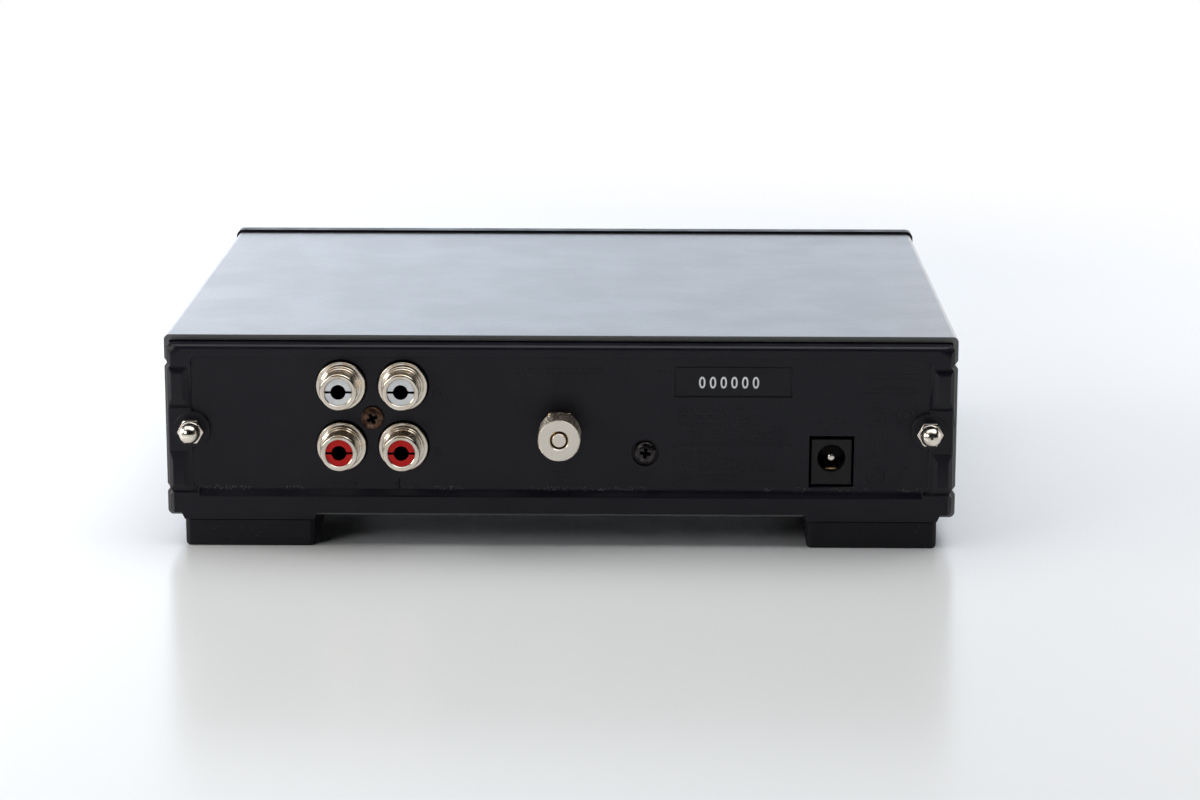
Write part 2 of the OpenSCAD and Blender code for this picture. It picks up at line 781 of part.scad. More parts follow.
module earth_stud() {
    back = behind_y - lug_t - inner_nut_h - 1.5;
    color("#cfcabf") to_rear([0, back, mid_z]) {
        cylinder(r = stud_r, h = thumb_end - back - 0.4);
        translate([0, 0, thumb_end - back - 0.4 - eps])
            cylinder(r = stud_r - 0.25, h = 0.4 + eps);
    }
}

// Solder lug: a ring under the inner nut and a strip down to the board
module earth_lug() {
    lug_r = 4.2;
    strip_w = 4;
    y0 = behind_y - lug_t;
    color("#c9c4b8") difference() {
        union() {
            to_rear([0, y0, mid_z]) cylinder(r = lug_r, h = lug_t);
            translate([-strip_w / 2, y0, board_top])
                cube([strip_w, lug_t, mid_z - board_top]);
            translate([-strip_w / 2, y0 - 5, board_top]) cube([strip_w, 5 + eps, lug_t]);
        }
        to_rear([0, y0 - 1, mid_z]) cylinder(r = stud_r + 0.1, h = lug_t + 2);
    }
}

module earth_inner_nut() {
    color("#c9a24b") to_front([0, behind_y - lug_t, mid_z]) hex_nut(7, stud_r + small, inner_nut_h);
}

module earth_hex_nut() {
    color("#cdb98a") to_rear([0, hex_y, mid_z]) hex_nut(earth_hex_af, stud_r + small, earth_hex_h);
}

module earth_washer() {
    color("#cfcabf") to_rear([0, washer_y, mid_z]) ring(thumb_d / 2 - 0.6, stud_r + 0.1, earth_washer_t);
}

// Knurled thumb nut: fine straight flutes between two plain chamfers
module earth_thumb_nut() {
    r = thumb_d / 2;
    c = 0.35;
    flutes = 40;
    color("#d8d2c6") to_rear([0, thumb_y, mid_z]) difference() {
        rotate_extrude($fn = 96) polygon([
            [stud_r + 0.05, 0], [r - c, 0], [r, c], [r, thumb_len - c],
            [r - c, thumb_len], [stud_r + 0.35, thumb_len], [stud_r + 0.05, thumb_len - 0.3]]);
        for (i = [0 : flutes - 1]) rotate([0, 0, i * 360 / flutes])
            translate([r + 0.05, 0, -1]) rotate([0, 0, 45])
                translate([-0.14, -0.14, 0]) cube([0.28, 0.28, thumb_len + 2]);
    }
}

// ---------------------------------------------------------------- power inlet

inlet_len = 13;
inlet_face_y = field_y - inlet_sunk;
inlet_z = board_top + inlet_rise;
inlet_hole_len = 10;
pin_step = 0.2;

module inlet_body() {
    color("#141416") difference() {
        translate([-inlet_x - inlet_w / 2, inlet_face_y - inlet_len, board_top])
            cube([inlet_w, inlet_len, inlet_h]);
        to_rear([-inlet_x, inlet_face_y - inlet_hole_len, inlet_z])
            cylinder(d = inlet_hole_d, h = inlet_hole_len + 1);
        to_rear([-inlet_x, inlet_face_y - inlet_len - 1, inlet_z])
            cylinder(r = inlet_pin_d / 2 - pin_step + small, h = inlet_len);
    }
}

// The pin is turned down where it passes through the body's back wall
module inlet_pin() {
    r = inlet_pin_d / 2;
    back = inlet_len - inlet_hole_len;
    tip = inlet_len - 0.9;
    color("#d8d2c6") to_rear([-inlet_x, inlet_face_y - inlet_len, inlet_z]) {
        cylinder(r = r - pin_step, h = back + 0.1);
        translate([0, 0, back + 0.05]) cylinder(r = r, h = tip - back - r * 0.6);
        intersection() {
            translate([0, 0, tip - r * 0.6]) cylinder(r = r, h = r);
            translate([0, 0, tip - r * 1.2]) sphere(r * 1.2);
        }
    }
}

// Leaf contact lying along the bottom of the hole
module inlet_spring() {
    leaf_w = 2.6;
    drop = sqrt(pow(inlet_hole_d / 2, 2) - pow(leaf_w / 2, 2)) - small;
    color("#c08a3c") translate([-inlet_x - leaf_w / 2, inlet_face_y - inlet_hole_len + 0.1,
                                inlet_z - drop])
        cube([leaf_w, inlet_hole_len - 1.4, 0.35]);
}

// ---------------------------------------------------------------- board bracket

bracket_x = -19.3;     // from the centre line
bracket_rise = 7.4;
bracket_z = board_top + bracket_rise;
bracket_t = 1.5;
bracket_w = 11;
bracket_screw_r = 1.4;
screw_recess = 0.8;

module board_bracket() {
    y0 = behind_y - bracket_t;
    color("#b8bcc0") difference() {
        union() {
            translate([bracket_x - bracket_w / 2, y0, board_top])
                cube([bracket_w, bracket_t, bracket_rise + 5]);
            translate([bracket_x - bracket_w / 2, y0 - 8, board_top])
                cube([bracket_w, 8 + eps, bracket_t]);
        }
        to_rear([bracket_x, y0 - 1, bracket_z])
            cylinder(r = bracket_screw_r + small, h = bracket_t + 2);
    }
}

module bracket_screw() {
    color("#202022") to_rear([bracket_x, field_y - screw_recess, bracket_z])
        pan_screw(pan_head_r, 1.6, bracket_screw_r, mould_t - screw_recess + bracket_t + 2);
}

// ---------------------------------------------------------------- label

label_w = 26.4;
label_h = 6.9;
label_inset = 50.9;    // from the sleeve's side to the label's middle
label_x = label_inset - case_w / 2;
label_drop = 5.5;      // from the field's top to the label's middle
label_z = mid_z + field_up - label_drop;
label_sunk = 0.35;

module serial_label() {
    gap = 0.25;
    color("#26262a") translate([label_x - label_w / 2 + gap, field_y - label_sunk,
                                label_z - label_h / 2 + gap])
        cube([label_w - 2 * gap, 0.2, label_h - 2 * gap]);
}

// ---------------------------------------------------------------- power button

button_corner_r = 1.6;
dish_r = 60;
dish_depth = 0.9;
cap_flange = 1.5;      // margin of the stop flange behind the opening
cap_flange_t = 1.6;
switch_rise = 6;       // height of the switch's axis above the board
switch_z = board_top + switch_rise;
plunger_w = 3.6;
switch_len = 14;
switch_y0 = board_y0 + 9;
switch_back = 2;       // wall at the switch's far end
spring_room = button_travel + 2.7;
collar_t = 0.8;
flange_y = face_y + mould_t + 0.1;
flange_back = flange_y + cap_flange_t;

module power_button() {
    w = button_w + 2 * button_gap + 2 * cap_flange;
    low = switch_z - 3;
    high = mid_z + button_h / 2 + cap_flange;
    color("#2a2a2c") {
        along_y(face_y - button_proud, flange_y + eps) translate([-button_x, mid_z])
            round_rect(button_w, button_h, button_corner_r - button_gap);
        translate([-button_x - w / 2, flange_y, low])
            cube([w, cap_flange_t, high - low]);
    }
}

module button_rod() {
    color("#1c1c1e") to_rear([-button_x, flange_back, switch_z])
        cylinder(r = 1.9, h = switch_y0 - spring_room - collar_t - flange_back);
}

module switch_plunger() {
    y0 = switch_y0 - spring_room - collar_t;
    end_y = switch_y0 + switch_len - switch_back - button_travel - 1.5;
    color("#e4e2da") translate([-button_x, 0, switch_z]) {
        along_y(y0, end_y) square(plunger_w, center = true);
        along_y(y0, y0 + collar_t) square(plunger_w + 3.2, center = true);
    }
}

// Return spring round the plunger, between its collar and the switch
module switch_spring() {
    y0 = switch_y0 - spring_room;
    y1 = switch_y0;
    coils = 3;
    wire_r = 0.22;
    coil_r = plunger_w / 2 * 1.414 + 0.25 + wire_r;
    color("silver") to_rear([-button_x, y0, switch_z])
        for (i = [0 : coils - 1]) translate([0, 0, wire_r + i * (y1 - y0 - 2 * wire_r) / (coils - 1)])
            rotate_extrude($fn = 48) translate([coil_r, 0]) circle(wire_r, $fn = 16);
}

module switch_body() {
    w = 11;
    h = switch_rise + 5;
    hole = plunger_w + 2 * button_gap;
    color("#8c8f92") difference() {
        translate([-button_x - w / 2, switch_y0, board_top]) cube([w, switch_len, h]);
        along_y(switch_y0 - 1, switch_y0 + switch_len - switch_back) translate([-button_x, switch_z])
            square(hole, center = true);
    }
}

led_back = sleeve_y0 + 3;
led_gap = 0.1;         // between the lens and its lamp
lamp_d = 2.9;
lamp_len = 3.4;
lamp_collar_d = 3.8;
lamp_collar_t = 1;
lamp_legs = 1.27;
lamp_leg_y = board_y0 + 3;

module indicator_lens() {
    color([0.8, 0.85, 0.9, 0.5]) to_front([-led_x, led_back, mid_z])
        cylinder(d = led_d, h = led_back - face_y + 0.3);
}

// Lamp held behind its lens by two legs, which bend down to the board
module indicator_led() {
    y1 = led_back + led_gap;
    y2 = y1 + lamp_len;
    color("#b8ffb8") {
        to_rear([-led_x, y1, mid_z]) cylinder(d = lamp_d, h = lamp_len);
        to_rear([-led_x, y2 - eps, mid_z]) cylinder(d = lamp_collar_d, h = lamp_collar_t);
        for (s = [-1, 1]) translate([-led_x + s * lamp_legs - lead_w / 2, 0, 0]) {
            translate([0, y2, mid_z - lead_w / 2])
                cube([lead_w, lamp_leg_y - y2 + lead_w, lead_w]);
            translate([0, lamp_leg_y, board_top]) cube([lead_w, lead_w, mid_z - board_top]);
        }
    }
}

// ---------------------------------------------------------------- components

// The power supply keeps to the inlet's side, the amplifier to the sockets' side
supply_x = 6 - inlet_x;
parts_y = behind_y - 20;
lead_w = 0.5;          // width of a chip's or lamp's leg
lead_pitch = 2.54;

reservoir_d = 12.5;
reservoir_h = 22;
reservoir_pitch = 18;
reservoir_back = 24;
coupling_d = 8;
coupling_h = 11.5;
coupling_start = 22;
coupling_rows = 44;
film_size = [7.2, 4.5, 9];
film_start = 26;
film_back = 22;
film_rows = 12;
part_pitch = 12;       // spacing of the capacitors across
can_round = 0.6;

module can(x, y, d, h) translate([x, y, board_top]) {
    cylinder(d = d, h = h - can_round);
    cylinder(d = d - 2 * can_round, h = h);
    translate([0, 0, h - can_round]) rotate_extrude()
        translate([d / 2 - can_round, 0]) circle(can_round, $fn = 24);
}

module reservoir_capacitors() {
    color("#20242e") for (ix = [0, 1], iy = [0, 1])
        can(supply_x + ix * reservoir_pitch, parts_y - reservoir_back - iy * reservoir_pitch,
            reservoir_d, reservoir_h);
}

module coupling_capacitors() {
    color("#23314a") for (ix = [0 : 3], iy = [0, 1])
        can(phono_x - coupling_start + ix * part_pitch, parts_y - coupling_d - iy * coupling_rows,
            coupling_d, coupling_h);
}

module film_capacitors() {
    color("#9c2b26") for (ix = [0 : 3], iy = [0, 1])
        translate([phono_x - film_start + ix * part_pitch,
                   parts_y - film_back - iy * film_rows, board_top])
            cube(film_size);
}

wire_d = 0.6;          // lead of a diode or resistor
wire_reach = 2;        // how far a lead runs out before it bends down
diode_d = 2.7;
diode_len = 5.2;
diode_pitch = 6;
diode_back = 8;
resistor_d = 2.3;
resistor_len = 6.3;
resistor_pitch = 5;
resistor_start = 28;
resistor_back = 63;
resistor_rows = 14;

// Lies on the board along Y with its leads bent down
module axial(x, y, d, len) translate([x, y, board_top]) {
    span = len / 2 + wire_reach;
    to_rear([0, -len / 2, d / 2]) cylinder(d = d, h = len);
    to_rear([0, -span, d / 2]) cylinder(d = wire_d, h = 2 * span, $fn = 16);
    for (s = [-1, 1]) translate([0, s * span, 0])
        cylinder(d = wire_d, h = (d + wire_d) / 2, $fn = 16);
}

module rectifier_diodes() {
    color("#1a1a1a") for (i = [0 : 3])
        axial(supply_x + (i - 1) * diode_pitch, parts_y - diode_back, diode_d, diode_len);
}

module resistors() {
    color("#4f8fb8") for (ix = [0 : 9], iy = [0, 1])
        axial(phono_x - resistor_start + ix * resistor_pitch,
              parts_y - resistor_back - iy * resistor_rows, resistor_d, resistor_len);
}

chip_w = 6.4;
chip_len = 9.8;
chip_h = 3.3;
chip_up = 0.5;         // gap under a chip
chip_offset = 46;      // from the sockets' centre to the chips
chip_back = 20;
chip_pitch = 16;
leg_x = 3.8;           // centre of a chip's legs
leg_z = 1.6;

module amplifier_chips() {
    color("#1c1c1e") for (iy = [0, 1])
        translate([phono_x - chip_offset, parts_y - chip_back - iy * chip_pitch, board_top]) {
            translate([-chip_w / 2, -chip_len / 2, chip_up]) cube([chip_w, chip_len, chip_h]);
            for (side = [0, 1], j = [0 : 3]) mirror([side, 0, 0])
                translate([leg_x - lead_w / 2, (j - 1.5) * lead_pitch - lead_w / 2, 0]) {
                    cube([lead_w, lead_w, leg_z + lead_w]);
                    translate([chip_w / 2 - leg_x - lead_w / 2, 0, leg_z])
                        cube([leg_x - chip_w / 2 + lead_w, lead_w, lead_w]);
                }
        }
}

transistor_r = 2.3;
transistor_h = 4.6;
transistor_up = 3;
transistor_pitch = 8;
transistor_start = 24;
transistor_back = 42;
transistor_legs = 1.27;

module transistors() {
    color("#222224") for (ix = [0 : 5])
        translate([phono_x - transistor_start + ix * transistor_pitch,
                   parts_y - transistor_back, board_top]) {
            intersection() {
                translate([0, 0, transistor_up]) cylinder(r = transistor_r, h = transistor_h);
                translate([-transistor_r, 1 - transistor_r, 0])
                    cube([2 * transistor_r, 2 * transistor_r, transistor_up + transistor_h]);
            }
            for (j = [-1 : 1])
                translate([j * transistor_legs - lead_w / 2, -lead_w / 2, 0])
                    cube([lead_w, lead_w, transistor_up + eps]);
        }
}

sink_w = 18;
sink_h = 22;
sink_base = 2.5;
sink_fins = 7;
fin_t = 1.2;
fin_len = 8;
sink_pitch = 24;
sink_back = 58;
sink_xs = [supply_x + 2, supply_x + 2 + sink_pitch];
sink_y = parts_y - sink_back;
tab_w = 10;            // a regulator's tab and body
tab_t = 1.3;
tab_top = 16;
tab_low = 4;
tab_hole_drop = 2.8;
regulator_t = 4.5;
regulator_h = 6.4;
sink_screw_r = 1.4;

module heat_sinks() {
    color("#232426") for (x = sink_xs) translate([x - sink_w / 2, sink_y, board_top])
        difference() {
            union() {
                cube([sink_w, sink_base, sink_h]);
                for (i = [0 : sink_fins - 1])
                    translate([i * (sink_w - fin_t) / (sink_fins - 1), -fin_len, 0])
                        cube([fin_t, fin_len + eps, sink_h]);
            }
            to_rear([sink_w / 2, -1, tab_top - tab_hole_drop])
                cylinder(r = sink_screw_r + small, h = sink_base + 2);
        }
}

module regulators() {
    leg_w = 0.8;
    color("#2a2a2c") for (x = sink_xs) translate([x, sink_y + sink_base, board_top])
        difference() {
            union() {
                translate([-tab_w / 2, 0, tab_low]) cube([tab_w, tab_t, tab_top - tab_low]);
                translate([-tab_w / 2, 0, tab_low]) cube([tab_w, regulator_t, regulator_h]);
                for (j = [-1 : 1])
                    translate([j * lead_pitch - leg_w / 2, regulator_t / 2, 0])
                        cube([leg_w, lead_w, tab_low + eps]);
            }
            to_rear([0, -1, tab_top - tab_hole_drop])
                cylinder(r = sink_screw_r + 0.3, h = tab_t + 2);
        }
}

module heat_sink_screws() {
    color("silver") for (x = sink_xs)
        to_rear([x, sink_y + sink_base + tab_t, board_top + tab_top - tab_hole_drop])
            pan_screw(2.4, 1.6, sink_screw_r, sink_base + tab_t - 0.4);
}

// ---------------------------------------------------------------- drawing

upper_shell();
lower_shell();
front_panel();
rear_panel();
foot_front_left();
foot_front_right();
foot_rear_left();
foot_rear_right();
foot_screws();
foot_nuts();
tie_rods();
tie_rod_inserts();
acorn_nuts();
main_board();
board_standoffs();
board_screws();
phono_block();
phono_shell_input_left();
phono_shell_input_right();
phono_shell_output_left();
phono_shell_output_right();
phono_core_input_left();
phono_core_input_right();
phono_core_output_left();
phono_core_output_right();
phono_contacts();
phono_block_screw();
earth_stud();
earth_lug();
earth_inner_nut();
earth_hex_nut();
earth_washer();
earth_thumb_nut();
inlet_body();
inlet_pin();
inlet_spring();
board_bracket();
bracket_screw();
serial_label();
power_button();
button_rod();
switch_plunger();
switch_spring();
switch_body();
indicator_lens();
indicator_led();
reservoir_capacitors();
coupling_capacitors();
film_capacitors();
rectifier_diodes();
regulators();
heat_sinks();
heat_sink_screws();
amplifier_chips();
transistors();
resistors();
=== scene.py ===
import json
import math
import random

import bpy
import bmesh
from mathutils import Matrix, Vector
from mathutils.bvhtree import BVHTree

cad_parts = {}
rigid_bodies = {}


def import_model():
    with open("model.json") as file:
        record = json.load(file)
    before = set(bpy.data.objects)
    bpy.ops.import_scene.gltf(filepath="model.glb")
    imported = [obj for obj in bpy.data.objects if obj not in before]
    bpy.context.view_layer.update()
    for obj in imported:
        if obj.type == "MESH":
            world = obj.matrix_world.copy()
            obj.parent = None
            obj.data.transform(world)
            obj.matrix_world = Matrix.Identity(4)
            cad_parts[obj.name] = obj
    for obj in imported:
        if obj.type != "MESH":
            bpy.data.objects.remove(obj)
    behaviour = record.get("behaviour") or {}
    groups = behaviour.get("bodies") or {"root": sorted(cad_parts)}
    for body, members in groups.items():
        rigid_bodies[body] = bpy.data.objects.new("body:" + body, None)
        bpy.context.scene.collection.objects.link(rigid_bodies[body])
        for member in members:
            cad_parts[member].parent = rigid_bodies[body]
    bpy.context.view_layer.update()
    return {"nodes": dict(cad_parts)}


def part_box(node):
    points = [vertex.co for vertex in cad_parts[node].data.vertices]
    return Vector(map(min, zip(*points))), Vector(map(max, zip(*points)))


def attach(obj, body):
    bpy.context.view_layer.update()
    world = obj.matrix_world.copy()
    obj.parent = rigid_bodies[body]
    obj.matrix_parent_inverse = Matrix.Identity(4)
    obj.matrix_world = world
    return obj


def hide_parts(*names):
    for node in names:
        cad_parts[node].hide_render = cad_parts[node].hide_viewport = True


for start_object in list(bpy.data.objects):
    bpy.data.objects.remove(start_object)

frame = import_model()
nodes = frame["nodes"]


# ------------ camera
# A long lens a little above the case, behind it, so that the connectors face
# the viewer and the painted top shows as a narrow, foreshortened band.
lens_length, film_width = 98.1, 36     # millimetres
nearest_seen = 0.01
camera_place = (-0.0192, 0.7911, 0.1938)
camera_tilt = math.radians(90 - 12.47)
camera_heading = math.radians(180.81)
camera_roll = math.radians(0.06)


def in_scene(name, data):
    """Makes an object of its data and puts it in the scene."""
    thing = bpy.data.objects.new(name, data)
    bpy.context.scene.collection.objects.link(thing)
    return thing


camera = in_scene("camera", bpy.data.cameras.new("camera"))
camera.data.lens = lens_length
camera.data.sensor_width = film_width
camera.data.clip_start = nearest_seen
camera.data.dof.use_dof = False
camera.matrix_world = (
    Matrix.Translation(camera_place)
    @ Matrix.Rotation(camera_heading, 4, "Z")
    @ Matrix.Rotation(camera_tilt, 4, "X")
    @ Matrix.Rotation(camera_roll, 4, "Z")
)
bpy.context.scene.camera = camera
bpy.context.scene.view_settings.view_transform = "Standard"


# ------------ table and light
# A white lacquered table, polished enough to mirror the case softly. The room has
# windows low behind the case and a skylight over its far half; one soft lamp
# stands to the left, and one to the left of the viewer.
table_reach = 4.0                      # half the side of the table top, in metres
lacquer_colour = (0.80, 0.81, 0.83)
lacquer_roughness = 0.22
lacquer_ior = 1.45
fade_start = 0.30                      # the table melts into the white room from here
fade_end = 0.52

left_window = (3.00, 3.08, 3.28)       # how bright each opening is, in red, green, blue
middle_window = (0.62, 0.80, 1.02)
right_window = (2.20, 2.12, 2.14)
skylight = (1.38, 1.38, 1.38)
skylight_right = (1.19, 1.25, 1.19)    # what its right half has over that

lamp_size = (0.4, 0.3)
lamp_aim = (0.05, 0, 0.03)
left_lamp_place = (0.7, 0.05, 0.3)
left_lamp_watts = 1.9
left_lamp_colour = (1.0, 0.94, 0.82)
viewer_lamp_place = (0.6, 0.6, 0.4)
viewer_lamp_watts = 1.6

mix_first, mix_second, mix_result = 6, 7, 2    # the colour sockets of a Mix node


def new_material(name, colour, roughness, **sockets):
    """Starts a material; returns it with its node tree and its surface shader.
    Further values set other sockets of the shader by their names."""
    material = bpy.data.materials.new(name)
    material.use_nodes = True
    shader = material.node_tree.nodes["Principled BSDF"]
    shader.inputs["Base Color"].default_value = (*colour, 1.0)
    shader.inputs["Roughness"].default_value = roughness
    for socket, value in sockets.items():
        shader.inputs[socket.replace("_", " ")].default_value = value
    return material, material.node_tree, shader


def add_node(tree, kind, **values):
    """Adds a shader node; values set its properties or, failing that, its sockets."""
    node = tree.nodes.new("ShaderNode" + kind)
    for name, value in values.items():
        if hasattr(node, name):
            setattr(node, name, value)
        else:
            node.inputs[name.replace("_", " ")].default_value = value
    return node


def measure(tree, kind, first, second=0.0):
    """One Math node; either side is a number or another node's output."""
    node = add_node(tree, "Math", operation=kind)
    for socket, value in zip(node.inputs, (first, second)):
        if isinstance(value, (int, float)):
            socket.default_value = value
        else:
            tree.links.new(value, socket)
    return node.outputs[0]


def product(tree, *factors):
    """Multiplies outputs, and numbers after the first."""
    result = factors[0]
    for factor in factors[1:]:
        result = measure(tree, "MULTIPLY", result, factor)
    return result


def split(tree, vector):
    """The parts X, Y and Z of a vector output."""
    parts = add_node(tree, "SeparateXYZ")
    tree.links.new(vector, parts.inputs[0])
    return parts.outputs


def smooth_range(tree, value, low, high, to_low=0.0, to_high=1.0):
    """Maps a value from low..high to to_low..to_high with soft ends."""
    node = add_node(tree, "MapRange", interpolation_type="SMOOTHSTEP",
                    From_Min=low, From_Max=high, To_Min=to_low, To_Max=to_high)
    tree.links.new(value, node.inputs["Value"])
    return node.outputs[0]


table_mesh = bpy.data.meshes.new("table_top")
table_mesh.from_pydata(
    [(sx * table_reach, sy * table_reach, 0) for sx, sy in ((-1, -1), (1, -1), (1, 1), (-1, 1))],
    [], [(0, 1, 2, 3)])
table_top = in_scene("table_top", table_mesh)

lacquer, tree, shader = new_material("white_lacquer", lacquer_colour, lacquer_roughness,
                                     IOR=lacquer_ior)
spread = add_node(tree, "VectorMath", operation="LENGTH")
tree.links.new(add_node(tree, "NewGeometry").outputs["Position"], spread.inputs[0])
fade = smooth_range(tree, spread.outputs["Value"], fade_start, fade_end)
glow = add_node(tree, "Emission", Strength=1.0)
melt = add_node(tree, "MixShader")
tree.links.new(fade, melt.inputs["Fac"])
tree.links.new(shader.outputs[0], melt.inputs[1])
tree.links.new(glow.outputs[0], melt.inputs[2])
tree.links.new(melt.outputs[0], tree.nodes["Material Output"].inputs["Surface"])
table_mesh.materials.append(lacquer)

room = bpy.data.worlds.new("room")
bpy.context.scene.world = room
room.use_nodes = True
tree = room.node_tree
# where a direction points: X is to the viewer's left, Y towards the viewer, Z up
axes = split(tree, add_node(tree, "TexCoord").outputs["Generated"])
far_side = smooth_range(tree, axes["Y"], -0.3, 0.3, 1.0, 0.0)
not_near = smooth_range(tree, axes["Y"], 0.15, 0.55, 1.0, 0.0)
low_down = smooth_range(tree, axes["Z"], 0.25, 0.45, 1.0, 0.0)
above = smooth_range(tree, axes["Z"], 0.6, 0.85)
to_left = smooth_range(tree, axes["X"], -0.15, 0.45)
to_right = smooth_range(tree, axes["X"], -0.45, 0.15, 1.0, 0.0)
right_half = smooth_range(tree, axes["X"], -0.3, 0.3, 1.0, 0.0)
between = measure(tree, "SUBTRACT", measure(tree, "SUBTRACT", 1.0, to_left), to_right)
# the outer ends of the side windows are shaded to about half
not_aside = smooth_range(tree, measure(tree, "ABSOLUTE", axes["X"]), 0.15, 0.4, 1.0, 0.55)
openings = [(left_window, far_side, low_down, to_left, not_aside),
            (middle_window, far_side, low_down, between),
            (right_window, far_side, low_down, to_right, not_aside),
            (skylight, above, not_near),
            (skylight_right, above, not_near, right_half)]
light = None
for colour, *shares in openings:
    shine = add_node(tree, "VectorMath", operation="SCALE")
    shine.inputs[0].default_value = colour
    tree.links.new(product(tree, *shares), shine.inputs["Scale"])
    if light is None:
        light = shine.outputs[0]
        continue
    both = add_node(tree, "VectorMath", operation="ADD")
    tree.links.new(light, both.inputs[0])
    tree.links.new(shine.outputs[0], both.inputs[1])
    light = both.outputs[0]
# the viewer sees plain white behind the table, through clear pieces as well
path = add_node(tree, "LightPath")
plain_view = measure(tree, "MAXIMUM", path.outputs["Is Camera Ray"],
                     path.outputs["Is Transmission Ray"])
backdrop = add_node(tree, "Mix", data_type="RGBA")
tree.links.new(plain_view, backdrop.inputs["Factor"])
tree.links.new(light, backdrop.inputs[mix_first])
backdrop.inputs[mix_second].default_value = (1, 1, 1, 1)
wall = tree.nodes["Background"]
tree.links.new(backdrop.outputs[mix_result], wall.inputs["Color"])
wall.inputs["Strength"].default_value = 1.0


def soft_lamp(name, place, watts, colour=(1, 1, 1)):
    """A softbox at place, turned towards the case."""
    lamp = in_scene(name, bpy.data.lights.new(name, "AREA"))
    lamp.data.shape = "RECTANGLE"
    lamp.data.size, lamp.data.size_y = lamp_size
    lamp.data.energy = watts
    lamp.data.color = colour
    lamp.location = place
    toward = Vector(lamp_aim) - Vector(place)
    lamp.rotation_euler = toward.to_track_quat("-Z", "Y").to_euler()


soft_lamp("left_lamp", left_lamp_place, left_lamp_watts, left_lamp_colour)
soft_lamp("viewer_lamp", viewer_lamp_place, viewer_lamp_watts)


# ------------ painted sleeve
# Two bent sheets of aluminium, lapped along the sides, sprayed with a fine
# wrinkle paint that dries to a hard, slightly glossy skin of small rounded grains.
mm = 0.001
same_place = 0.001 * mm                # points closer than this are one point
flat_angle = math.radians(1)           # faces within this angle are one face
sharp_angle = math.radians(30)         # outer edges beyond this angle are rolled over
crowded = 0.6                          # rolled points this close, in radii, are joined
astray = 0.8                           # rolled points this far off, in radii, go back
noise_low, noise_high = 0.3, 0.7       # a soft noise seldom leaves this range

sleeve_edge = 0.15 * mm                # rounding of the cut edges
wrinkle_size = 0.9 * mm
wrinkle_depth = 0.06 * mm
paint_colour = (0.016, 0.017, 0.02)
# painted shade and light: the wrinkles' valleys are coloured darker and their peaks lighter
painted_shade_valley = (0.013, 0.014, 0.017)
painted_light_peak = (0.02, 0.021, 0.025)
paint_cloud = 14 * mm                  # size of its duller and glossier patches
paint_roughness = (0.33, 0.41)


def as_object(name, form):
    """Makes an object of a finished form."""
    mesh = bpy.data.meshes.new(name)
    form.to_mesh(mesh)
    form.free()
    return in_scene(name, mesh)


def settle(piece):
    """Turns a piece with modifiers into a plain mesh."""
    graph = bpy.context.evaluated_depsgraph_get()
    mesh = bpy.data.meshes.new_from_object(piece.evaluated_get(graph))
    piece.modifiers.clear()
    piece.data = mesh
    mesh.name = piece.name


def rounded_copy(name, node, radius, body="case"):
    """A copy of a CAD node whose outer edges roll over by radius; it replaces the node.
    Points that the rolling throws clear of the node's surface go back onto it."""
    form = bmesh.new()
    form.from_mesh(nodes[node].data)
    bmesh.ops.remove_doubles(form, verts=form.verts, dist=same_place)
    bmesh.ops.dissolve_limit(form, angle_limit=flat_angle, verts=form.verts, edges=form.edges)
    rolled = form.edges.layers.float.new("bevel_weight_edge")
    for edge in form.edges:
        if len(edge.link_faces) == 2:
            edge[rolled] = edge.calc_face_angle_signed(0) > sharp_angle
    piece = as_object(name, form)
    piece.data.shade_smooth()
    edges = piece.modifiers.new("rolled_edges", "BEVEL")
    edges.width = radius
    edges.segments = 2
    edges.limit_method = "WEIGHT"
    edges.use_clamp_overlap = False
    edges.face_strength_mode = "FSTR_ALL"
    weld = piece.modifiers.new("crowded_corners_join", "WELD")
    weld.merge_threshold = crowded * radius
    shading = piece.modifiers.new("flat_faces_stay_flat", "WEIGHTED_NORMAL")
    shading.use_face_influence = True
    settle(piece)
    source = nodes[node].data
    surface = BVHTree.FromPolygons([v.co for v in source.vertices],
                                   [face.vertices for face in source.polygons])
    for point in piece.data.vertices:
        nearest, _, _, distance = surface.find_nearest(point.co)
        if distance > astray * radius:
            point.co = nearest
    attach(piece, body)
    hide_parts(node)
    return piece


def paint(piece, material):
    """Gives a piece its material."""
    piece.data.materials.clear()
    piece.data.materials.append(material)


def own_place(tree):
    """The place of a point on the piece itself, in metres."""
    return add_node(tree, "TexCoord").outputs["Object"]


def noise(tree, size, detail=2.0, rough=0.5):
    """Soft noise with blobs of that size in metres, fixed to the piece; a grey output."""
    grain = add_node(tree, "TexNoise", Scale=1 / size, Detail=detail, Roughness=rough)
    tree.links.new(own_place(tree), grain.inputs["Vector"])
    return grain.outputs["Fac"]


def bump(tree, shader, height, depth):
    """Raises the surface by a grey height; depth is in metres."""
    relief = add_node(tree, "Bump", Distance=depth)
    tree.links.new(height, relief.inputs["Height"])
    tree.links.new(relief.outputs[0], shader.inputs["Normal"])


def two_tones(tree, shader, amount, first, second):
    """Leads the surface's colour from first to second by a grey amount."""
    mix = add_node(tree, "Mix", data_type="RGBA")
    tree.links.new(amount, mix.inputs["Factor"])
    mix.inputs[mix_first].default_value = (*first, 1.0)
    mix.inputs[mix_second].default_value = (*second, 1.0)
    tree.links.new(mix.outputs[mix_result], shader.inputs["Base Color"])


def uneven_gloss(tree, shader, grey, low, high):
    """Leads the surface's roughness from low to high by a soft noise."""
    varied = smooth_range(tree, grey, noise_low, noise_high, low, high)
    tree.links.new(varied, shader.inputs["Roughness"])


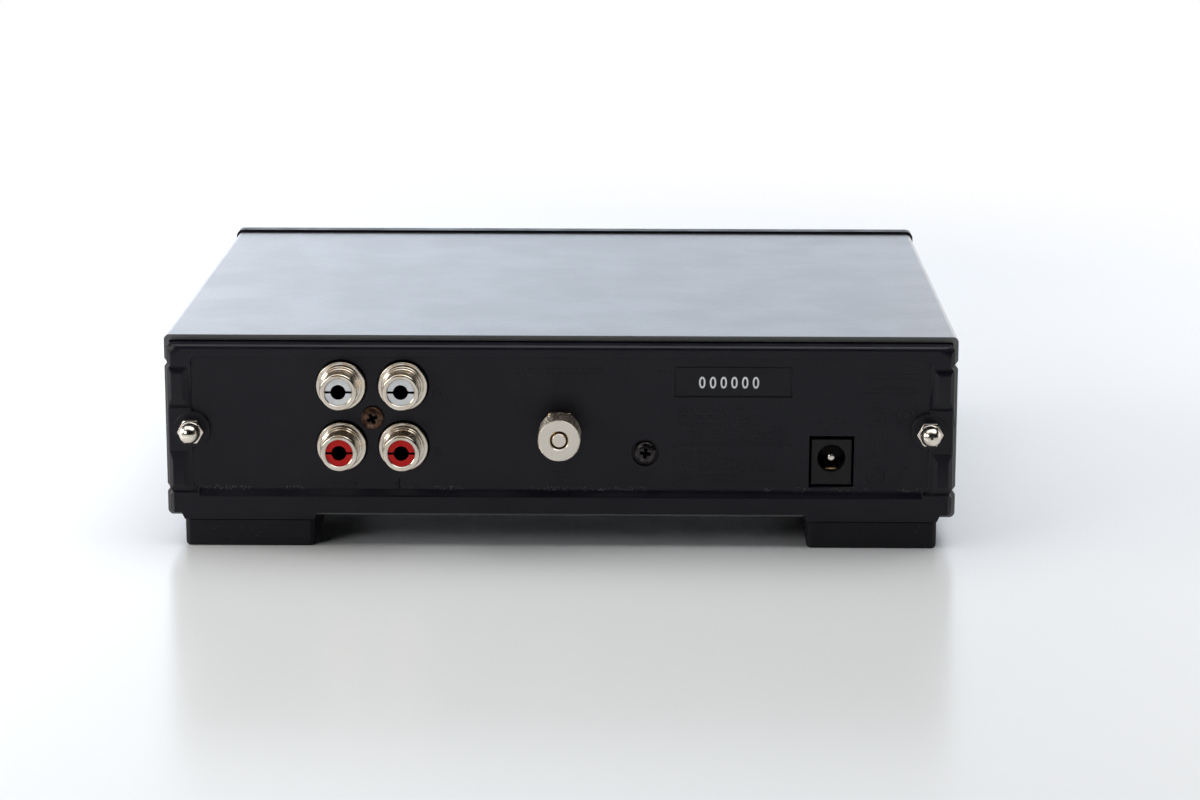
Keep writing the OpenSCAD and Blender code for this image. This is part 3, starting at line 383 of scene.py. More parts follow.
wrinkle_paint, tree, shader = new_material("wrinkle_paint", paint_colour, 0.36, Coat_Weight=1.0,
                                           Coat_Roughness=0.28, Coat_IOR=1.9)
grains = smooth_range(tree, noise(tree, wrinkle_size, 2.0, 0.55), noise_low, noise_high)
bump(tree, shader, grains, wrinkle_depth)
# painted shade in the wrinkles' valleys and painted light on their peaks
two_tones(tree, shader, grains, painted_shade_valley, painted_light_peak)
uneven_gloss(tree, shader, noise(tree, paint_cloud), *paint_roughness)

for name, node in (("painted_upper_shell", "upper_shell"), ("painted_lower_shell", "lower_shell")):
    paint(rounded_copy(name, node, sleeve_edge), wrinkle_paint)


# ------------ mouldings
# Front and rear are injection moulded in black plastic with a fine eroded
# texture; the two tie rods pull them into the ends of the sleeve.
front_edge = 0.15 * mm
rear_edge = 0.2 * mm
panel_colour = (0.0036, 0.0035, 0.0088)
panel_grain = 0.3 * mm
panel_grain_depth = 0.012 * mm
rear_ledge_up = 13.6 * mm              # lint gathers where the field meets the ledge
moulding_gloss = 0.31
flow_mark_size = 9 * mm
flow_mark_change = 0.05                # of the roughness, up and down
dust_colour = (0.3, 0.29, 0.28)
speck_spacing = 1.6 * mm
speck_strength = 0.12
lint_size = 0.35 * mm
lint_patch = 11 * mm
lint_band = (0.2 * mm, 0.7 * mm)       # it thins out between these distances
lint_strength = 0.3


def moulded_plastic(name, colour, roughness, grain_size, grain_depth, dusty_height=None):
    """Black moulded plastic: an eroded grain, faint flow marks and a little dust,
    of which more gathers in patches round the dusty height."""
    material, tree, shader = new_material(name, colour, roughness,
                                          Specular_IOR_Level=moulding_gloss)
    bump(tree, shader, noise(tree, grain_size), grain_depth)
    uneven_gloss(tree, shader, noise(tree, flow_mark_size, 3.0),
                 roughness - flow_mark_change, roughness + flow_mark_change)
    # dust lies in single specks: the middles of a few cells of a fine cell pattern
    cells = add_node(tree, "TexVoronoi", Scale=1 / speck_spacing)
    tree.links.new(own_place(tree), cells.inputs["Vector"])
    speck = smooth_range(tree, cells.outputs["Distance"], 0.05, 0.12, 1.0, 0.0)
    chosen = smooth_range(tree, cells.outputs["Color"], 0.72, 0.8)
    dust = product(tree, speck, chosen, speck_strength)
    if dusty_height is not None:
        offset = measure(tree, "SUBTRACT", split(tree, own_place(tree))["Z"], dusty_height)
        corner = smooth_range(tree, measure(tree, "ABSOLUTE", offset), *lint_band, 1.0, 0.0)
        patch = smooth_range(tree, noise(tree, lint_patch), 0.5, 0.6)
        lint = smooth_range(tree, noise(tree, lint_size, 3.0), 0.56, 0.66)
        gathered = product(tree, corner, patch, lint, lint_strength)
        dust = measure(tree, "MAXIMUM", dust, gathered)
    two_tones(tree, shader, dust, colour, dust_colour)
    return material


moulded_black = moulded_plastic("moulded_black", panel_colour, 0.36, panel_grain,
                                panel_grain_depth, dusty_height=rear_ledge_up)
front_black = moulded_plastic("front_black", panel_colour, 0.36, panel_grain, panel_grain_depth)
front_panel = rounded_copy("moulded_front", "front_panel", front_edge)
paint(front_panel, front_black)
rear_panel = rounded_copy("moulded_rear", "rear_panel", rear_edge)
paint(rear_panel, moulded_black)


# ------------ raised marks
# Small raised marks moulded with the rear panel: rows of dashes where print
# would stand, a blank nameplate and plain signs for in, out, earth and supply.
field_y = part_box("phono_block_screw")[1].y - 1.5 * mm
mark_up = 0.1 * mm                     # how far the marks stand out of the field
mark_root = 0.02 * mm                  # and how far they reach into it

# from here on the marks are drawn in millimetres: across from the middle of the
# rear to the viewer's right, and up from the table
mark_draft = 0.08                      # run of their sloping sides
fine_stroke = 0.2
frame_stroke = 0.22
square_stroke = 0.25
sign_stroke = 0.3
arrow_stroke = 0.4
dash_widths = (0.35, 0.55, 0.7)
dash_gap = 0.28
group_gap = 0.6
print_height = 1.05
print_left = 26.7                      # each row below is given by its height and length
print_rows = ((32.0, 15.5), (30.3, 21.4), (28.5, 18.0), (26.7, 25.4), (25.0, 25.4))
framed_left = 27.6
framed_rows = ((22.0, 11.5), (20.4, 17.8), (18.7, 23.2), (16.5, 15.4))
arrow_up = 14.6
arrow_half = 3.2                       # half its length
barb = 1.2                             # half the height of its head
earth_across = 0.5
earth_bar_up = 17.4
channel_across = -27.8
square_across, square_up = 71.2, 30.7
ring_across, ring_up = 78.2, 31.0


def skin(form, rings, ends=True):
    """Joins rings with as many points each into one form, closed at both ends."""
    loops = [[form.verts.new(point) for point in ring] for ring in rings]
    for one, two in zip(loops, loops[1:]):
        for i in range(len(one)):
            j = (i + 1) % len(one)
            form.faces.new((one[i], one[j], two[j], two[i]))
    if ends:
        form.faces.new(loops[0])
        form.faces.new(list(reversed(loops[-1])))


def seen_from_rear(across, up, out=0.0):
    """A place on the rear field; across and up in millimetres, out in metres."""
    return Vector((-across * mm, field_y + out, up * mm))


def raised_shape(form, outline):
    """A shape with sloping sides that stands on the rear field; its outline lists
    places in order, as across and up."""
    middle = [sum(p[i] for p in outline) / len(outline) for i in (0, 1)]
    top = []
    for across, up in outline:
        reach = math.hypot(across - middle[0], up - middle[1])
        keep = max(0.2, 1 - mark_draft / max(reach, 0.01))
        top.append(seen_from_rear(middle[0] + (across - middle[0]) * keep,
                                  middle[1] + (up - middle[1]) * keep, mark_up))
    skin(form, [[seen_from_rear(across, up, -mark_root) for across, up in outline], top])


def raised_line(form, start, end, width):
    """A raised stroke of that width from start to end."""
    side = Vector((start[1] - end[1], end[0] - start[0])).normalized() * width / 2
    raised_shape(form, [(point[0] + sign * side.x, point[1] + sign * side.y)
                        for point, sign in ((start, 1), (start, -1), (end, -1), (end, 1))])


def raised_path(form, points, width, closed=False):
    """Raised strokes through all the points."""
    ends = points[1:] + points[:1] if closed else points[1:]
    for start, end in zip(points, ends):
        raised_line(form, start, end, width)


def raised_box(form, left, low, right, high, width):
    """Raised strokes along the four sides of a box."""
    raised_path(form, [(left, low), (right, low), (right, high), (left, high)], width, closed=True)


def raised_ring(form, across, up, radius, width, steps=40):
    """A raised ring; the radius is that of the middle of its width."""
    turns = [i * 2 * math.pi / steps for i in range(steps)]
    foot, crest = (width / 2, -mark_root), (width / 2 - mark_draft, mark_up)
    rings = []
    for side, edges in ((1, (foot, crest)), (-1, (crest, foot))):
        for edge, out in edges:
            reach = radius + side * edge
            rings.append([seen_from_rear(across + reach * math.cos(a),
                                         up + reach * math.sin(a), out) for a in turns])
    skin(form, rings, ends=False)


def dash_row(form, across, up, length, height, seed):
    """A row of small raised blocks in groups, which stands where print would."""
    dice = random.Random(seed)
    here = across
    while here < across + length:
        for _ in range(dice.randint(3, 8)):
            width = dice.choice(dash_widths)
            if here + width > across + length:
                break
            low = up - height / 2
            raised_shape(form, [(here, low), (here + width, low),
                                (here + width, low + height), (here, low + height)])
            here += width + dash_gap
        here += group_gap


marks = bmesh.new()
# print beside the number label: five rows, then four more in a frame
for row, (up, length) in enumerate(print_rows):
    dash_row(marks, print_left, up, length, print_height, seed=100 + row)
for row, (up, length) in enumerate(framed_rows):
    dash_row(marks, framed_left, up, length, print_height, seed=200 + row)
raised_box(marks, 25.8, 15.4, 52.9, 23.9, frame_stroke)
# short rows over the earth terminal, beside the label and over the supply inlet
dash_row(marks, -10.2, 40.7, 20.2, 1.7, seed=31)
dash_row(marks, 21.9, 40.6, 3.6, 1.3, seed=32)
dash_row(marks, 58.0, 29.3, 2.6, 1.3, seed=33)
# supply polarity: a bar over three short dashes
raised_line(marks, (61.6, 29.7), (64.6, 29.7), sign_stroke)
for i in range(3):
    raised_line(marks, (61.7 + i * 1.1, 29.0), (62.3 + i * 1.1, 29.0), sign_stroke)
# arrows into and out of the sockets, each with a short bar at its tip
for across, inward in ((-49.6, 1), (-34.4, -1)):
    tip = across + arrow_half * inward
    back = tip - 1.5 * inward
    raised_line(marks, (across - arrow_half, arrow_up), (across + arrow_half, arrow_up),
                arrow_stroke)
    raised_path(marks, [(back, arrow_up + barb), (tip, arrow_up), (back, arrow_up - barb)],
                arrow_stroke)
    raised_line(marks, (tip + 1.0, arrow_up - barb), (tip + 1.0, arrow_up + barb), arrow_stroke)
# earth sign under the terminal
raised_line(marks, (earth_across, 19.2), (earth_across, earth_bar_up), sign_stroke)
for i, half in enumerate((2.4, 1.5, 0.6)):
    bar_up = earth_bar_up - 1.1 * i
    raised_line(marks, (earth_across - half, bar_up), (earth_across + half, bar_up), sign_stroke)
# one and two rings tell the channels apart
for up, rings in ((36.0, 1), (22.1, 2)):
    for ring in range(rings):
        raised_ring(marks, channel_across, up, 0.9 - 0.5 * ring, fine_stroke)
# blank nameplate and plain signs at the right: squares, rings, a row of bars, a
# crossed ring and a small house
raised_box(marks, 68.6, 36.0, 81.6, 40.3, sign_stroke)
raised_box(marks, 69.6, 37.0, 80.6, 39.3, fine_stroke)
for half in (1.9, 1.1):
    raised_box(marks, square_across - half, square_up - half,
               square_across + half, square_up + half, square_stroke)
for radius in (2.3, 1.1):
    raised_ring(marks, ring_across, ring_up, radius, sign_stroke)
for i in range(5):
    raised_line(marks, (69.2 + i * 1.2, 21.6), (69.2 + i * 1.2, 27.0), sign_stroke)
raised_line(marks, (68.6, 20.9), (74.6, 20.9), sign_stroke)
raised_ring(marks, 71.4, 16.9, 2.1, sign_stroke)
raised_line(marks, (69.9, 15.4), (72.9, 18.4), sign_stroke)
raised_path(marks, [(76.2, 14.9), (80.8, 14.9), (80.8, 17.0), (78.5, 19.0), (76.2, 17.0)],
            sign_stroke, closed=True)
bmesh.ops.recalc_face_normals(marks, faces=marks.faces)
raised_marks = as_object("raised_marks", marks)
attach(raised_marks, "case")
paint(raised_marks, moulded_black)


# ------------ feet
# Four blocks moulded in a slightly softer black plastic; a screw from below
# holds each of them against the lower half of the sleeve.
foot_edge = 0.35 * mm
foot_corners = ("front_left", "front_right", "rear_left", "rear_right")
foot_black = moulded_plastic("foot_black", (0.0056, 0.0056, 0.0096), 0.6, 0.4 * mm, 0.015 * mm)
for corner in foot_corners:
    foot = rounded_copy("moulded_foot_" + corner, "foot_" + corner, foot_edge)
    paint(foot, foot_black)


# ------------ screws
# Pan-head screws with a cross recess, cold headed and then blackened, bronzed
# or zinc plated. The recess is pressed in with four tapered wings.
no_radius = 1e-7                       # a radius below this is a point on the axis
head_side = 0.42                       # a head's straight side, as a share of its height
head_dome = 0.58                       # and its domed part
head_chamfer = 0.1 * mm
recess_span = 1.15                     # width of the recess, in radii of the head
recess_depth = 0.8                     # its depth, in heights of the head
recess_rim = 0.05 * mm                 # rounding of its edge
recess_reach = 0.7                     # faces this near the axis, in radii of the head, and
recess_skin = 0.06 * mm                # this far under its dome are the recess's
punch_base = (0.4, 1.1, 0.34)          # the punch's height, span and width of a wing,
punch_tip = (-1.0, 0.4, 0.18)          # in depths and spans of the recess
foot_screw_r = 2.7 * mm
foot_screw_sunk = 2.9 * mm             # how deep its seat lies below the foot's top
scuff_size = 0.12 * mm
scuff_depth = 0.006 * mm


def stand(piece, place, axis):
    """Puts a piece in its place, with its own Y axis along that axis."""
    piece.location = place
    if axis == "-Z":
        piece.rotation_euler = (math.radians(-90), 0, 0)


def turned(name, profile, place, axis="Y", steps=96, closed=True):
    """A body of revolution at place. The profile lists (radius, distance along the
    axis) in metres, in order; a closed profile runs back to its first point."""
    form = bmesh.new()
    turns = [i * 2 * math.pi / steps for i in range(steps)]
    rings = []
    for radius, out in profile:
        if radius < no_radius:
            rings.append([form.verts.new((0, out, 0))])
        else:
            rings.append([form.verts.new((radius * math.cos(a), out, radius * math.sin(a)))
                          for a in turns])
    for one, two in zip(rings, rings[1:] + rings[:1] if closed else rings[1:]):
        if len(one) == 1 and len(two) == 1:
            continue
        for i in range(steps):
            j = (i + 1) % steps
            corners = [one[i % len(one)], one[j % len(one)], two[j % len(two)], two[i % len(two)]]
            form.faces.new(list(dict.fromkeys(corners)))
    bmesh.ops.recalc_face_normals(form, faces=form.faces)
    piece = as_object(name, form)
    piece.data.shade_smooth()
    piece.data.set_sharp_from_angle(angle=math.radians(40))
    stand(piece, place, axis)
    return piece


def rounding(radius, centre_r, centre_out, start, end, steps=8):
    """Points of an arc in a profile, from start to end in degrees."""
    points = []
    for i in range(steps + 1):
        a = math.radians(start + (end - start) * i / steps)
        points.append((centre_r + radius * math.cos(a), centre_out + radius * math.sin(a)))
    return points


def cross_punch(size, depth, place, turn, axis):
    """The tapered punch with four wings that presses a screw's recess."""
    form = bmesh.new()
    rings = []
    for height, span, width in (punch_base, punch_tip):
        out, reach, wing = height * depth, span * size, width * size
        ring = []
        for quarter in range(4):
            angle = turn + quarter * math.pi / 2
            along = Vector((math.cos(angle), 0, math.sin(angle)))
            side = Vector((-math.sin(angle), 0, math.cos(angle)))
            ring += [along * reach / 2 - side * wing / 2, along * reach / 2 + side * wing / 2,
                     (along + side) * wing / 2]
        rings.append([point + Vector((0, out, 0)) for point in ring])
    skin(form, rings)
    bmesh.ops.recalc_face_normals(form, faces=form.faces)
    punch = as_object("cross_punch", form)
    stand(punch, place, axis)
    return punch


def pan_screw(name, place, head_r, head_h, shank_r, shank_len, turn, material, axis="Y"):
    """A pan-head screw whose head stands on place and points along the axis. Its recess is painted
    black as shade."""
    dome = [(head_r * math.sin(a), head_h * (head_side + head_dome * math.cos(a)))
            for a in [math.radians(90 - i * 9) for i in range(1, 10)]]
    profile = [(0, -shank_len), (shank_r, -shank_len), (shank_r, 0), (head_r - head_chamfer, 0),
               (head_r, head_chamfer), (head_r, head_side * head_h)] + dome + [(0, head_h)]
    screw = turned(name, profile, place, axis, steps=64, closed=False)
    out = Vector((0, head_h, 0)) if axis == "Y" else Vector((0, 0, -head_h))
    punch = cross_punch(recess_span * head_r, recess_depth * head_h, place + out, turn, axis)
    recess = screw.modifiers.new("recess", "BOOLEAN")
    recess.object = punch
    recess.solver = "EXACT"
    rim = screw.modifiers.new("pressed_rim", "BEVEL")
    rim.width = recess_rim
    rim.segments = 2
    rim.limit_method = "ANGLE"
    rim.angle_limit = math.radians(50)
    settle(screw)
    bpy.data.objects.remove(punch)
    screw.data.set_sharp_from_angle(angle=math.radians(35))
    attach(screw, "case")
    paint(screw, material)
    # the recess is painted black as shade
    screw.data.materials.append(painted_shade_black)
    for face in screw.data.polygons:
        reach = math.hypot(face.center.x, face.center.z)
        if reach < recess_reach * head_r and face.center.y > 0:
            surface = head_h * (head_side + head_dome * math.sqrt(1 - (reach / head_r) ** 2))
            if face.center.y < surface - recess_skin:
                face.material_index = 1
    return screw


def on_axis_of(node, y):
    """The point at y on the middle line, along Y, of a node's box."""
    low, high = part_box(node)
    return Vector(((low.x + high.x) / 2, y, (low.z + high.z) / 2))


def grained(name, colour, roughness, grain_size, grain_depth, detail=2.0, **sockets):
    """A material with a fine grain."""
    material, tree, shader = new_material(name, colour, roughness, **sockets)
    bump(tree, shader, noise(tree, grain_size, detail), grain_depth)
    return material


def worn_metal(name, colour, worn_colour, roughness, patch):
    """Plated or blackened steel, rubbed through to a second colour in patches."""
    material, tree, shader = new_material(name, colour, roughness, Metallic=1.0)
    rubbed = smooth_range(tree, noise(tree, patch, 5.0, 0.6), 0.35, 0.75)
    two_tones(tree, shader, rubbed, colour, worn_colour)
    uneven_gloss(tree, shader, noise(tree, 0.4 * patch), roughness - 0.08, roughness + 0.12)
    bump(tree, shader, noise(tree, scuff_size, 3.0), scuff_depth)
    return material


# painted shade: a near-black for the insides of screw recesses and of the insulators' holes and
# slits
painted_shade_black = grained("painted_shade_black", (0.002, 0.002, 0.003), 0.7, 0.3 * mm, 0.01 * mm,
                     Specular_IOR_Level=0.1)
dark_steel = worn_metal("dark_steel", (0.03, 0.028, 0.03), (0.10, 0.085, 0.08), 0.3, 1.2 * mm)
low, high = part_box("foot_screws")
seat_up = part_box("foot_rear_left")[1].z - foot_screw_sunk
for corner in foot_corners:
    along = low.y + foot_screw_r if "front" in corner else high.y - foot_screw_r
    place = on_axis_of("foot_" + corner, along)
    place.z = seat_up
    screw = pan_screw("foot_screw_" + corner, place, head_r=foot_screw_r, head_h=2 * mm,
                      shank_r=1.45 * mm, shank_len=high.z - seat_up, turn=0.6,
                      material=dark_steel, axis="-Z")
    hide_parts("foot_screws")


# ------------ tie rods
# Long zinc-plated rods run along the sides from brass inserts in the front
# moulding; nickel-plated acorn nuts close them at the rear.
nickel_colour = (0.80, 0.74, 0.66)
nickel_roughness = 0.15
turning_mark = 0.28 * mm               # spacing of the rings that turning leaves
turning_depth = 0.0015 * mm
haze_size = 2.5 * mm
# painted reflection: the socket barrels are tinted brown in patches towards their upper side, for
# the dark field and flange they mirror there
painted_reflection_from, painted_reflection_to = 1.5 * mm, 5.5 * mm      # heights above the piece's axis
painted_reflection_tint = (0.74, 0.6, 0.45)
acorn_edge = 0.08 * mm


def plated_metal(name, colour, roughness, painted_reflection=0.0):
    """Bright plating over turned metal: fine rings round the piece's own Y axis, and patches of a
    painted brown reflection that deepens towards the piece's upper side, where the piece mirrors
    the dark field and flange."""
    material, tree, shader = new_material(name, colour, roughness, Metallic=1.0)
    parts = split(tree, own_place(tree))
    squares = measure(tree, "ADD", measure(tree, "POWER", parts["X"], 2.0),
                      measure(tree, "POWER", parts["Z"], 2.0))
    ring_place = add_node(tree, "CombineXYZ")
    tree.links.new(measure(tree, "SQRT", squares), ring_place.inputs["X"])
    tree.links.new(parts["Y"], ring_place.inputs["Y"])
    rings = add_node(tree, "TexNoise", Scale=1 / turning_mark, Detail=2.0)
    tree.links.new(ring_place.outputs[0], rings.inputs["Vector"])
    bump(tree, shader, rings.outputs["Fac"], turning_depth)
    haze = noise(tree, haze_size, 3.0)
    # painted reflection: browner towards the piece's upper side
    upper = smooth_range(tree, parts["Z"], painted_reflection_from, painted_reflection_to, 0.25 * painted_reflection, painted_reflection)
    patches = product(tree, smooth_range(tree, haze, 0.35, 0.65), upper)
    reflection_tinted = [share * part for share, part in zip(painted_reflection_tint, colour)]
    two_tones(tree, shader, patches, colour, reflection_tinted)
    uneven_gloss(tree, shader, haze, roughness, roughness + 0.08)
    return material


def finish_node(node, material):
    """Gives a CAD node its material as it stands."""
    nodes[node].data.materials.clear()
    nodes[node].data.materials.append(material)


nickel = plated_metal("nickel", nickel_colour, nickel_roughness)
zinc_steel = grained("zinc_steel", (0.62, 0.64, 0.66), 0.3, 0.5 * mm, 0.01 * mm, detail=3.0,
                     Metallic=1.0)
brass = plated_metal("brass", (0.78, 0.55, 0.26), 0.24)

acorn_nuts = rounded_copy("plated_acorn_nuts", "acorn_nuts", acorn_edge)
paint(acorn_nuts, nickel)
finish_node("tie_rods", zinc_steel)
finish_node("tie_rod_inserts", brass)
finish_node("foot_nuts", zinc_steel)


# ------------ phono sockets
# Four sockets in one black block behind the panel. Each is a turned, nickel-plated
# barrel round a split plastic insulator, white for left and red for right.
flange_r = 5.55 * mm                   # r is a radius, up a height over the field
flange_up = 1.5 * mm
flange_round = 0.25 * mm
step_r = 4.7 * mm
step_up = 2.3 * mm
groove_w = 0.1 * mm                    # a groove runs round the step's root
groove_depth = 0.14 * mm
barrel_r = 4.15 * mm
barrel_up = 8.2 * mm
barrel_root = 2.2 * mm
barrel_lip = 0.45 * mm
chamfer = 0.12 * mm
core_r = 3.05 * mm
core_up = 7.9 * mm
core_edge = 0.08 * mm
bore_r = core_r + 0.02 * mm
dark_hole_r = 1.72 * mm                # the pin's hole and the slit are painted black inside as shade
dark_slit_half = 0.27 * mm

barrel_profile = [
    (bore_r, -barrel_root), (flange_r, -barrel_root), (flange_r, flange_up - flange_round),
    *rounding(flange_round, flange_r - flange_round, flange_up - flange_round, 0, 90, 5),
    (step_r + groove_w + 0.06 * mm, flange_up), (step_r + groove_w, flange_up - groove_depth),
    (step_r, flange_up - groove_depth), (step_r, step_up - chamfer),
    (step_r - chamfer, step_up), (barrel_r + chamfer, step_up),
    (barrel_r, step_up + chamfer), (barrel_r, barrel_up - barrel_lip),
    *rounding(barrel_lip, barrel_r - barrel_lip, barrel_up - barrel_lip, 0, 90, 8),
    (bore_r + chamfer, barrel_up), (bore_r, barrel_up - chamfer)]


def insulator_plastic(name, colour):
    """Hard plastic with a dull shine, a little uneven where it cooled."""
    material, tree, shader = new_material(name, colour, 0.35, Specular_IOR_Level=0.2)
    darker = [0.9 * part for part in colour]
    two_tones(tree, shader, noise(tree, 1.2 * mm, 3.0), darker, colour)
    bump(tree, shader, noise(tree, 0.3 * mm), 0.004 * mm)
    return material


# the barrels carry the painted brown reflection on their upper side
socket_nickel = plated_metal("socket_nickel", nickel_colour, nickel_roughness, painted_reflection=1.0)
white_plastic = insulator_plastic("white_plastic", (0.86, 0.88, 0.90))
red_plastic = insulator_plastic("red_plastic", (0.60, 0.010, 0.009))

for place, plastic, slot in (("input_left", white_plastic, "white_plastic"),
                             ("input_right", red_plastic, "red_plastic"),
                             ("output_left", white_plastic, "white_plastic"),
                             ("output_right", red_plastic, "red_plastic")):
    shell = "phono_shell_" + place
    middle = on_axis_of(shell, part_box(shell)[1].y - barrel_up)
    barrel = turned("barrel_" + place, barrel_profile, middle)
    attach(barrel, "case")
    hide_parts(shell)
    paint(barrel, socket_nickel)
    core = rounded_copy("insulator_" + place, "phono_core_" + place, core_edge)
    paint(core, plastic)
    # each insulator's pin hole and slit are painted black as shade
    core.data.materials.append(painted_shade_black)
    for face in core.data.polygons:
        off = face.center - middle
        in_hole = math.hypot(off.x, off.z) < dark_hole_r
        in_slit = abs(off.z) < dark_slit_half
        if (in_hole or in_slit) and off.y < core_up - chamfer:
            face.material_index = 1

socket_black = moulded_plastic("socket_black", (0.007, 0.0068, 0.008), 0.4, 0.25 * mm, 0.006 * mm)
finish_node("phono_block", socket_black)
finish_node("phono_contacts", brass)

bronzed_steel = worn_metal("bronzed_steel", (0.07, 0.04, 0.03), (0.26, 0.16, 0.11), 0.36, 1.4 * mm)
block_screw = pan_screw("bronzed_block_screw", on_axis_of("phono_block_screw", field_y),
                        head_r=2.6 * mm, head_h=1.5 * mm, shank_r=1.4 * mm,
                        shank_len=8.2 * mm, turn=math.radians(65),
                        material=bronzed_steel)
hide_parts("phono_block_screw")


# ------------ earth terminal
# A threaded stud held by a hexagon nut, with a loose washer and a knurled thumb
# nut of nickel-plated brass that clamps the turntable's earth wire.
nut_low, nut_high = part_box("earth_thumb_nut")
nut_r = (nut_high.x - nut_low.x) / 2
nut_len = nut_high.y - nut_low.y
nut_bore = 2.0 * mm
nut_sink = 0.2 * mm                    # countersink of its bore
nut_chamfer = 0.15 * mm
knurl_teeth = 62
knurl_steps = 4                        # points of the mesh to a tooth
knurl_depth = 0.2 * mm
hex_edge = 0.06 * mm
stud_low, stud_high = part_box("earth_stud")
stud_r = 1.9 * mm
stud_root = 1.6 * mm                   # radius at the bottom of the thread
stud_len = stud_high.y - stud_low.y
stud_plain = 0.5 * mm                  # the length at its end that has no thread
stud_chamfer = 0.15 * mm
thread_pitch = 0.7 * mm


def knurled_nut(name, place):
    """A nut with diamond knurling up to its faces, open and countersunk at both ends."""
    form = bmesh.new()
    steps = knurl_teeth * knurl_steps
    side_len = nut_len - 2 * nut_chamfer
    rows = knurl_steps * round(side_len / (2 * math.pi * nut_r / knurl_teeth))
    stations = [(nut_bore, nut_sink), (nut_bore + nut_sink, 0.0), (nut_r - nut_chamfer, 0.0)]
    for row in range(rows + 1):
        stations.append((nut_r, nut_chamfer + side_len * row / rows))
    stations += [(nut_r - nut_chamfer, nut_len), (nut_bore + nut_sink, nut_len),
                 (nut_bore, nut_len - nut_sink)]
    rings = []
    for row, (radius, out) in enumerate(stations):
        ring = []
        for i in range(steps):
            a = i * 2 * math.pi / steps
            crossing = (i + row) % knurl_steps == 0 or (i - row) % knurl_steps == 0
            groove = crossing and radius > nut_bore + 1.5 * nut_sink
            r = radius - knurl_depth * groove
            ring.append(Vector((r * math.cos(a), out, r * math.sin(a))))
        rings.append(ring)
    skin(form, rings + rings[:1], ends=False)
    bmesh.ops.remove_doubles(form, verts=form.verts, dist=same_place)
    bmesh.ops.recalc_face_normals(form, faces=form.faces)
    piece = as_object(name, form)
    piece.location = place
    return piece


# painted shade: the knurling is darkened for the dark it mirrors, with bright specks painted in as
# glints
painted_dark_knurl, tree, shader = new_material("painted_dark_knurl", (0.1, 0.085, 0.075), 0.3, Metallic=1.0)
glint_specks = smooth_range(tree, noise(tree, 0.35 * mm, 3.0), 0.48, 0.62)
two_tones(tree, shader, glint_specks, (0.05, 0.042, 0.036), (0.5, 0.44, 0.38))
bump(tree, shader, noise(tree, 0.15 * mm), 0.01 * mm)
thumb_nut = knurled_nut("knurled_thumb_nut", on_axis_of("earth_thumb_nut", nut_low.y))
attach(thumb_nut, "thumb_nut")
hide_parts("earth_thumb_nut")
paint(thumb_nut, nickel)
thumb_nut.data.materials.append(painted_dark_knurl)
# the knurled side takes the painted shade and painted glints
for face in thumb_nut.data.polygons:
    reach = math.hypot(face.center.x, face.center.z)
    if reach > nut_r - 1.5 * knurl_depth and nut_chamfer < face.center.y < nut_len - nut_chamfer:
        face.material_index = 1

hex_nut = rounded_copy("gilt_hex_nut", "earth_hex_nut", hex_edge)
pale_gold = plated_metal("pale_gold", (0.8, 0.62, 0.38), 0.2)
paint(hex_nut, pale_gold)

stud_profile = [(0, 0), (stud_root, 0)]
for i in range(int((stud_len - stud_plain) / thread_pitch)):
    stud_profile += [(stud_root, (i + 0.5) * thread_pitch), (stud_r, (i + 0.9) * thread_pitch),
                     (stud_r, (i + 1.1) * thread_pitch)]
stud_profile += [(stud_root, stud_len - stud_chamfer), (stud_root - stud_chamfer, stud_len),
                 (0, stud_len)]
stud = turned("threaded_stud", stud_profile, on_axis_of("earth_thumb_nut", stud_low.y),
              closed=False)
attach(stud, "case")
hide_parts("earth_stud")
paint(stud, nickel)
stud.data.materials.append(brass)      # the thread is worn to the brass
for face in stud.data.polygons:
    if face.center.y < stud_len - 0.1 * mm:
        face.material_index = 1
finish_node("earth_washer", nickel)
finish_node("earth_inner_nut", brass)
tinned_steel = grained("tinned_steel", (0.66, 0.65, 0.62), 0.35, 0.8 * mm, 0.012 * mm,
                       detail=3.0, Metallic=1.0)
finish_node("earth_lug", tinned_steel)


# ------------ supply inlet
# A moulded low-voltage jack on the board, which shows through a square hole in
# the panel. A plated pin stands in its bore and a brass leaf lies below it.
inlet_edge = 0.18 * mm
leaf_edge = 0.08 * mm
pin_low, pin_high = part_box("inlet_pin")
pin_len = pin_high.y - pin_low.y
pin_r = 1.0 * mm
pin_root_r = 0.8 * mm
pin_root_len = 3.0 * mm
pin_tip = 0.7 * mm                     # rounding of its tip

inlet = rounded_copy("moulded_inlet", "inlet_body", inlet_edge)
paint(inlet, socket_black)
pin_profile = [(0, 0), (pin_root_r, 0), (pin_root_r, pin_root_len), (pin_r, pin_root_len),
               (pin_r, pin_len - pin_tip),
               *rounding(pin_tip, pin_r - pin_tip, pin_len - pin_tip, 0, 80, 7), (0, pin_len)]
pin = turned("plated_inlet_pin", pin_profile, on_axis_of("inlet_pin", pin_low.y),
             steps=48, closed=False)
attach(pin, "case")
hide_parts("inlet_pin")
paint(pin, nickel)
leaf = rounded_copy("brass_leaf", "inlet_spring", leaf_edge)
paint(leaf, brass)


# ------------ board bracket
# A zinc-plated angle ties the board to the rear panel; its blackened screw
# sits in a shallow round recess.
bracket_head_h = 1.6 * mm
place = on_axis_of("bracket_screw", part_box("bracket_screw")[1].y - bracket_head_h)
bracket_screw = pan_screw("blackened_bracket_screw", place, head_r=2.5 * mm,
                          head_h=bracket_head_h, shank_r=1.4 * mm, shank_len=4.9 * mm,
                          turn=math.radians(8), material=dark_steel)
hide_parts("bracket_screw")
finish_node("board_bracket", zinc_steel)


